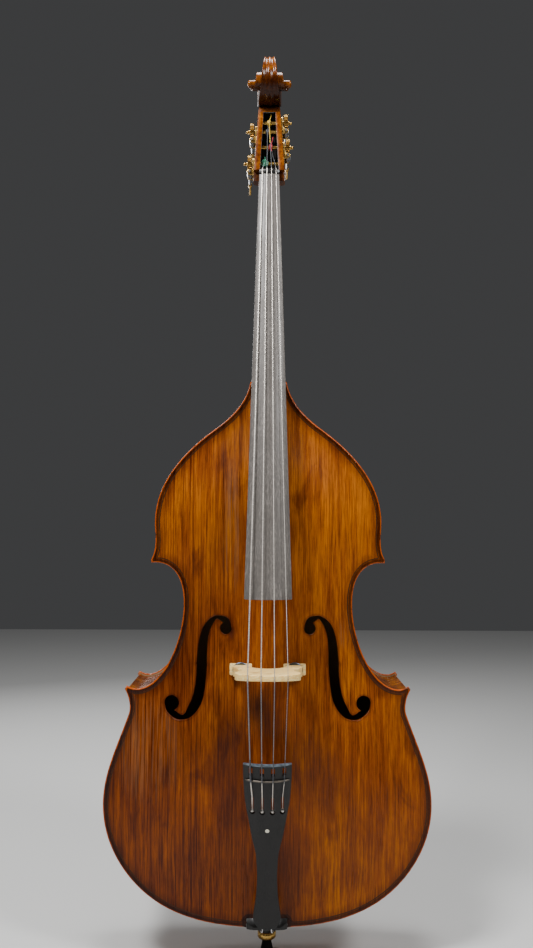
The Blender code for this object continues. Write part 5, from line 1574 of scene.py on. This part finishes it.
TAIL_PLACE = Matrix.Translation((0, *TAIL_FOOT)) @ Matrix.Rotation(TAIL_ANGLE, 4, "X")
TAIL_HALF = table([(0.000, 0.0134), (0.006, 0.0205), (0.0215, 0.0277), (0.053, 0.0244), (0.078, 0.0217),
                   (0.121, 0.0200), (0.160, 0.0213), (0.180, 0.0236), (0.212, 0.0305), (0.251, 0.0371),
                   (0.284, 0.0425), (0.321, 0.0456), (TAIL_LENGTH, 0.0466)])


def tail_section(s, shrink=0.0):
    """Bulging front, rounded sides, thinner back."""
    half = TAIL_HALF(s) - shrink
    soft = 0.0014
    front = [((half - soft) * k / 14, tail_front((half - soft) * k / 14) + shrink, s) for k in range(-14, 15)]
    edge = front[-1][1]
    rear = edge + TAIL_THICKNESS * 0.66 - 2 * shrink
    right = [(half - soft * 0.3, edge + soft * 0.35, s), (half, edge + soft, s), (half, rear - soft, s),
             (half - soft * 0.3, rear - soft * 0.3, s)]
    back = [((half - soft) * k / 6, tail_front((half - soft) * k / 6)
             + TAIL_THICKNESS * (1 - 0.3 * (k / 6) ** 2) - shrink, s) for k in range(6, -7, -1)]
    left = [(-x, y, height) for x, y, height in reversed(right)]
    return front + right + back + left


def keyhole(x):
    """A round hole for a string's ball with a slot running up from it."""
    angles = [math.radians(115 + 310 * i / 22) for i in range(23)]
    hole = [(x + 0.0052 * math.cos(a), SLOT[0] + 0.0052 * math.sin(a)) for a in angles]
    return hole + [(x + 0.0024, SLOT[1]), (x - 0.0024, SLOT[1])]


def build_tailpiece():
    rings = [tail_section(0.0, 0.0008)]
    rings.append(tail_section(0.0008))
    rings += [tail_section(mix(0.004, TAIL_LENGTH - 0.003, i / 70)) for i in range(71)]
    rings += [tail_section(TAIL_LENGTH - 0.0009), tail_section(TAIL_LENGTH, 0.0009)]
    cutters = []
    for name in STRINGS:
        x = TAIL_SPACING[name]
        window = [(x - 0.0035, 0.3445), (x + 0.0035, 0.3445), (x + 0.0035, 0.3610), (x - 0.0035, 0.3610)]
        cutters += [prism(window, -0.02, 0.03, "XZ"), prism(keyhole(BALL_SPACING[name]), -0.02, 0.03, "XZ")]
    mesh = carved(skin(rings), cutters)
    mesh.transform(TAIL_PLACE)
    piece("string_tailpiece", mesh, TAIL_EBONY, stands_for=["tailpiece"])

    xs = [0.0425 * k / 20 for k in range(-20, 21)]
    path = [tail_point(x, tail_front(x) - 0.0023, FRET_AT) for x in xs]
    bar = sweep(path, circle(0.0019, 14), scale=lambda t: min(1.0, 0.35 + 12 * min(t, 1 - t)))
    piece("fret_bar", bar, NICKEL, stands_for=["tailpiece_fret"])

    dot = turned([(0, -0.0002), (0.0036, -0.0002), (0.0040, 0.0001), (0.0040, 0.0012), (0, 0.0012)],
                 (0, tail_front(0), 0.226), "Y", 32)
    dot.transform(TAIL_PLACE)
    piece("tailpiece_dot", dot, INLAY)


def build_saddle():
    rear, low, top = PLATE_EDGE, -0.0006, 0.0189
    front = table([(0, -0.0104), (0.010, -0.0103), (0.022, -0.0100), (0.034, -0.0072), (0.0402, -0.0046),
                   (0.041, -0.0038)])
    ledge = table([(0, -0.0096), (0.012, -0.0090), (0.026, -0.0012), (0.041, -0.0004)])
    slope = table([(0, 0.0150), (0.012, 0.0120), (0.022, 0.0045), (0.034, 0.0080), (0.041, 0.0135)])
    rings = []
    for k in range(-20, 21):
        x = 0.041 * k / 20
        a = abs(x)
        soft = 0.0006
        rings.append([(x, rear, low), (x, rear, top), (x, ledge(a) + soft, top), (x, ledge(a), top - soft),
                      (x, front(a) + soft * 0.4, slope(a) + soft), (x, front(a), slope(a) - soft * 0.4),
                      (x, front(a), low + soft), (x, front(a) + soft, low)])
    piece("tail_saddle", skin(rings), EBONY, stands_for=["saddle"])


def build_tail_wire():
    y = ENDPIN_Y
    radius = 0.0183
    side = [(0.0085, -0.0145, 0.0260), (0.0087, -0.0138, 0.0170), (0.0090, -0.0125, 0.0040),
            (0.0095, -0.0120, -0.0025), (0.0105, -0.0085, -0.0055), (0.0120, 0.000, -0.0062),
            (0.0150, 0.040, -0.0062)]
    loop = [(radius * math.sin(a), y - radius * math.cos(a), -0.0062)
            for a in (math.radians(80 + 200 * i / 8) for i in range(9))]
    points = side + loop + [(-x, py, pz) for x, py, pz in reversed(side)]
    cable = sweep(through(points, 6), circle(0.0013, 12))
    piece("tail_cable", cable, STEEL, stands_for=["tail_wire"])


# ---------------------------------------------------------------- endpin
def build_endpin():
    y = ENDPIN_Y
    bore = 0.0053
    profile = [(bore, 0.046), (0.0150, 0.046), (0.0150, 0.0042), (0.0214, 0.0042), (0.0222, 0.0034),
               (0.0222, -0.0022), (0.0214, -0.0032), (0.0175, -0.0040), (0.0163, -0.0052), (0.0163, -0.0076),
               (0.0172, -0.0090), (0.0200, -0.0100), (0.0207, -0.0112), (0.0205, -0.0240), (0.0196, -0.0380),
               (0.0187, -0.0446), (0.0180, -0.0452), (bore, -0.0452)]
    cone = turned(profile, (0, y, 0), "Z", 56, True)
    piece("endpin_cone", cone, EBONY, stands_for=["endpin_plug"])
    top, low = -0.0455, -0.0600
    profile = [(bore, top), (0.0186, top), (0.0193, top - 0.0008), (0.0195, top - 0.002),
               (0.0188, top - 0.0034), (0.0195, top - 0.0048), (0.0195, low + 0.0034),
               (0.0190, low + 0.0014), (0.0178, low), (bore, low)]
    screw = joint_centre("clamp_screw_turn")
    collar = carved(turned(profile, (0, y, 0), "Z", 56, True),
                    [drill(0.0033, 0.015, (0, y + 0.020, screw.z), "Y")])
    piece("brass_collar", collar, BRASS, stands_for=["endpin_collar"])
    rod_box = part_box("endpin_rod")
    rod_top, rod_low = rod_box[1].z - BASE.z, rod_box[0].z - BASE.z
    profile = [(0, rod_top), (0.0038, rod_top), (0.0047, rod_top - 0.0008), (0.005, rod_top - 0.002),
               (0.005, rod_low), (0, rod_low)]
    piece("sliding_rod", turned(profile, (0, y, 0), "Z", 40), STEEL, "endpin", ["endpin_rod"])
    floor, tip_top, hole = -BASE.z, 0.022 - BASE.z, 0.0053
    profile = [(hole, tip_top - GAP), (0.0078, tip_top - GAP), (0.0086, tip_top - 0.0010),
               (0.0095, tip_top - 0.004), (0.0106, tip_top - 0.010), (0.0125, floor + 0.0040),
               (0.0126, floor + 0.0022), (0.0121, floor + 0.0006), (0.0115, floor), (0, floor),
               (0, rod_low - GAP), (hole, rod_low - GAP)]
    foot = turned(profile, (0, y, 0), "Z", 48, True)
    piece("rubber_foot", foot, RUBBER, "endpin", ["endpin_tip"])
    profile = [(0, 0.0420), (0.0058, 0.0420), (0.0068, 0.0414), (0.0072, 0.0405), (0.0072, 0.0295),
               (0.0066, 0.0286), (0.0040, 0.0280), (0.003, 0.0270), (0.003, 0.0058), (0, 0.0058)]
    head = turned(profile, (0, y, screw.z), "Y", 36)
    rib = prism([(-0.0003, -0.0004), (0.0003, 0.0), (-0.0003, 0.0004)], -0.0048, 0.0048, "XY")
    knurls = grown(RING_TREE, {"Count": 32, "Radius": 0.0072, "Material": BRASS}, pattern=rib)
    knurls.transform(Matrix.Translation((0, y + 0.0350, screw.z)) @ Matrix.Rotation(math.pi / 2, 4, "X"))
    piece("thumb_screw", joined(head, knurls), BRASS, "clamp_screw", ["endpin_screw"])


# ---------------------------------------------------------------- strings
SILK_REACH = {"e": 0.022, "a": 0.020, "d": 0.064, "g": 0.016}
OVER_BRIDGE = 0.0204
LOW_SILK, LOW_SILK_LENGTH = 0.044, 0.046


def string_route(name):
    """A string's path from its roller over the nut and the bridge to its ball."""
    r = STRING_RADIUS[name]
    lift = r + GAP
    centre = joint_centre("turn_roller_" + name)
    winding = ROLLER_RADIUS + GAP + 2 * r
    nut_x, bridge_x = NUT_SPACING[name], BRIDGE_SPACING[name]
    tail_x, ball_x = TAIL_SPACING[name], BALL_SPACING[name]
    nut_y = nut_top(nut_x) - lift
    bridge_y = -crown_top(bridge_x) - lift
    fret_n = tail_front(tail_x) - 0.0042 - lift
    return [(WINDING_X[name], centre.y - winding - lift, centre.z),
            (nut_x, nut_y + 0.0006, BOARD_TOP + 0.0110), (nut_x, nut_y - 0.0001, BOARD_TOP + 0.0095),
            (nut_x, nut_y - 0.0001, BOARD_TOP + 0.0008),
            (bridge_x, bridge_y - 0.0002, BRIDGE_Z[1] + 0.0006),
            (bridge_x, bridge_y - 0.0002, BRIDGE_Z[0] + 0.0100),
            tail_point(tail_x, fret_n, FRET_AT),
            tail_point(ball_x, tail_front(ball_x) - lift - GAP, SLOT[1] + 0.001),
            tail_point(ball_x, tail_front(ball_x) + 0.0035, SLOT[0] + 0.008),
            tail_point(ball_x, tail_front(ball_x) + 0.0050, SLOT[0])]


def rounded(points, radius):
    """A path whose bends are short curves."""
    path = [Vector(points[0])]
    for a, b, c in zip(points, points[1:], points[2:]):
        a, b, c = Vector(a), Vector(b), Vector(c)
        reach = min(radius, (b - a).length * 0.4, (c - b).length * 0.4)
        start, end = b + (a - b).normalized() * reach, b + (c - b).normalized() * reach
        for i in range(7):
            t = i / 6
            path.append(start * (1 - t) ** 2 + b * 2 * t * (1 - t) + end * t * t)
    return path + [Vector(points[-1])]


def between(path, start, end):
    """The part of a path from one length along it to another."""
    kept, run = [], 0.0
    for a, b in zip(path, path[1:]):
        step = (b - a).length
        if step == 0:
            continue
        if run + step > start and run < end:
            if not kept:
                kept.append(a.lerp(b, share(start, run, run + step)))
            kept.append(a.lerp(b, share(end, run, run + step)))
        run += step
    return kept


def build_strings():
    for name in STRINGS:
        r = STRING_RADIUS[name]
        path = rounded(string_route(name), 0.006)
        total = sum((b - a).length for a, b in zip(path, path[1:]))
        route = string_route(name)
        to_bridge = math.dist(route[0], route[1]) + math.dist(route[3], route[4])
        to_fret = to_bridge + OVER_BRIDGE + math.dist(route[5], route[6])
        silk_end = SILK_REACH[name]
        silk_low = to_fret - LOW_SILK
        bare = sweep(between(path, silk_end * 0.96, total), circle(r * 0.93, 14))
        ball = turned([(0.0040 * math.sin(math.pi * i / 16), 0.0040 * math.cos(math.pi * i / 16))
                       for i in range(17)], route[-1], "X", 24)
        line = joined(bare, ball)
        piece("string_line_" + name, line, STRING, stands_for=["string_" + name])
        top = sweep(between(path, 0.0, silk_end), circle(r * 1.03, 14))
        piece("string_silk_top_" + name, top, SILK[name])
        low = sweep(between(path, silk_low, silk_low + LOW_SILK_LENGTH), circle(r * 1.08, 14))
        piece("string_silk_low_" + name, low, SILK["a"])


# ---------------------------------------------------------------- unseen woodwork
def finish_inside():
    """The blocks, linings, bar and post keep their shapes and get bare wood."""
    names = ["front_lining", "back_lining", "neck_block", "end_block", "bass_bar", "sound_post"]
    names += [f"corner_block_{level}_{side}" for level in ("upper", "lower") for side in ("bass", "treble")]
    for name in names:
        obj = frame["nodes"][name]
        obj.data.materials.clear()
        obj.data.materials.append(BARE)


# ---------------------------------------------------------------- floor, lights and camera
def build_stage():
    bm = bmesh.new()
    bmesh.ops.create_grid(bm, x_segments=2, y_segments=2, size=6.0)
    mesh = bpy.data.meshes.new("floor")
    bm.to_mesh(mesh)
    bm.free()
    floor = bpy.data.objects.new("floor", mesh)
    bpy.context.scene.collection.objects.link(floor)
    pale = bpy.data.materials.new("pale_floor")
    pale.use_nodes = True
    pale.node_tree.nodes["Principled BSDF"].inputs["Base Color"].default_value = (0.62, 0.62, 0.61, 1)
    pale.node_tree.nodes["Principled BSDF"].inputs["Roughness"].default_value = 0.8
    mesh.materials.append(pale)

    world = bpy.data.worlds.new("studio")
    world.use_nodes = True
    world.node_tree.nodes["Background"].inputs["Color"].default_value = (0.80, 0.81, 0.83, 1)
    world.node_tree.nodes["Background"].inputs["Strength"].default_value = 0.065
    bpy.context.scene.world = world


def build_lights():
    aim = Vector((0, 0, 1.15))
    for name, place, size, power in (("key", (-1.1, -1.6, 3.3), (0.7, 0.7), 128),
                                     ("fill", (1.8, -1.9, 2.9), (0.6, 0.7), 68),
                                     ("top", (0.1, 0.2, 3.4), (0.8, 0.8), 45),
                                     ("rear", (-1.2, 2.4, 2.2), (1.2, 1.6), 40)):
        light = bpy.data.lights.new(name, "AREA")
        light.shape = "RECTANGLE"
        light.size, light.size_y = size
        light.energy = power
        lamp = bpy.data.objects.new(name, light)
        bpy.context.scene.collection.objects.link(lamp)
        lamp.location = place
        lamp.rotation_euler = (aim - Vector(place)).to_track_quat("-Z", "Y").to_euler()


def build_camera():
    lens = bpy.data.cameras.new("camera")
    lens.lens = 35.0
    lens.sensor_width = 36.0
    camera = bpy.data.objects.new("camera", lens)
    bpy.context.scene.collection.objects.link(camera)
    camera.location = (-0.0034, -2.0093, 0.8956)
    camera.rotation_euler = (math.radians(93.23), math.radians(-0.19), 0)
    bpy.context.scene.camera = camera


build_stage()
build_lights()
build_camera()
build_plates()
build_ribs()
build_fingerboard()
build_nut()
build_neck()
build_pegbox()
build_scroll()
build_machines()
build_bridge()
build_tailpiece()
build_saddle()
build_tail_wire()
build_endpin()
build_strings()
finish_inside()
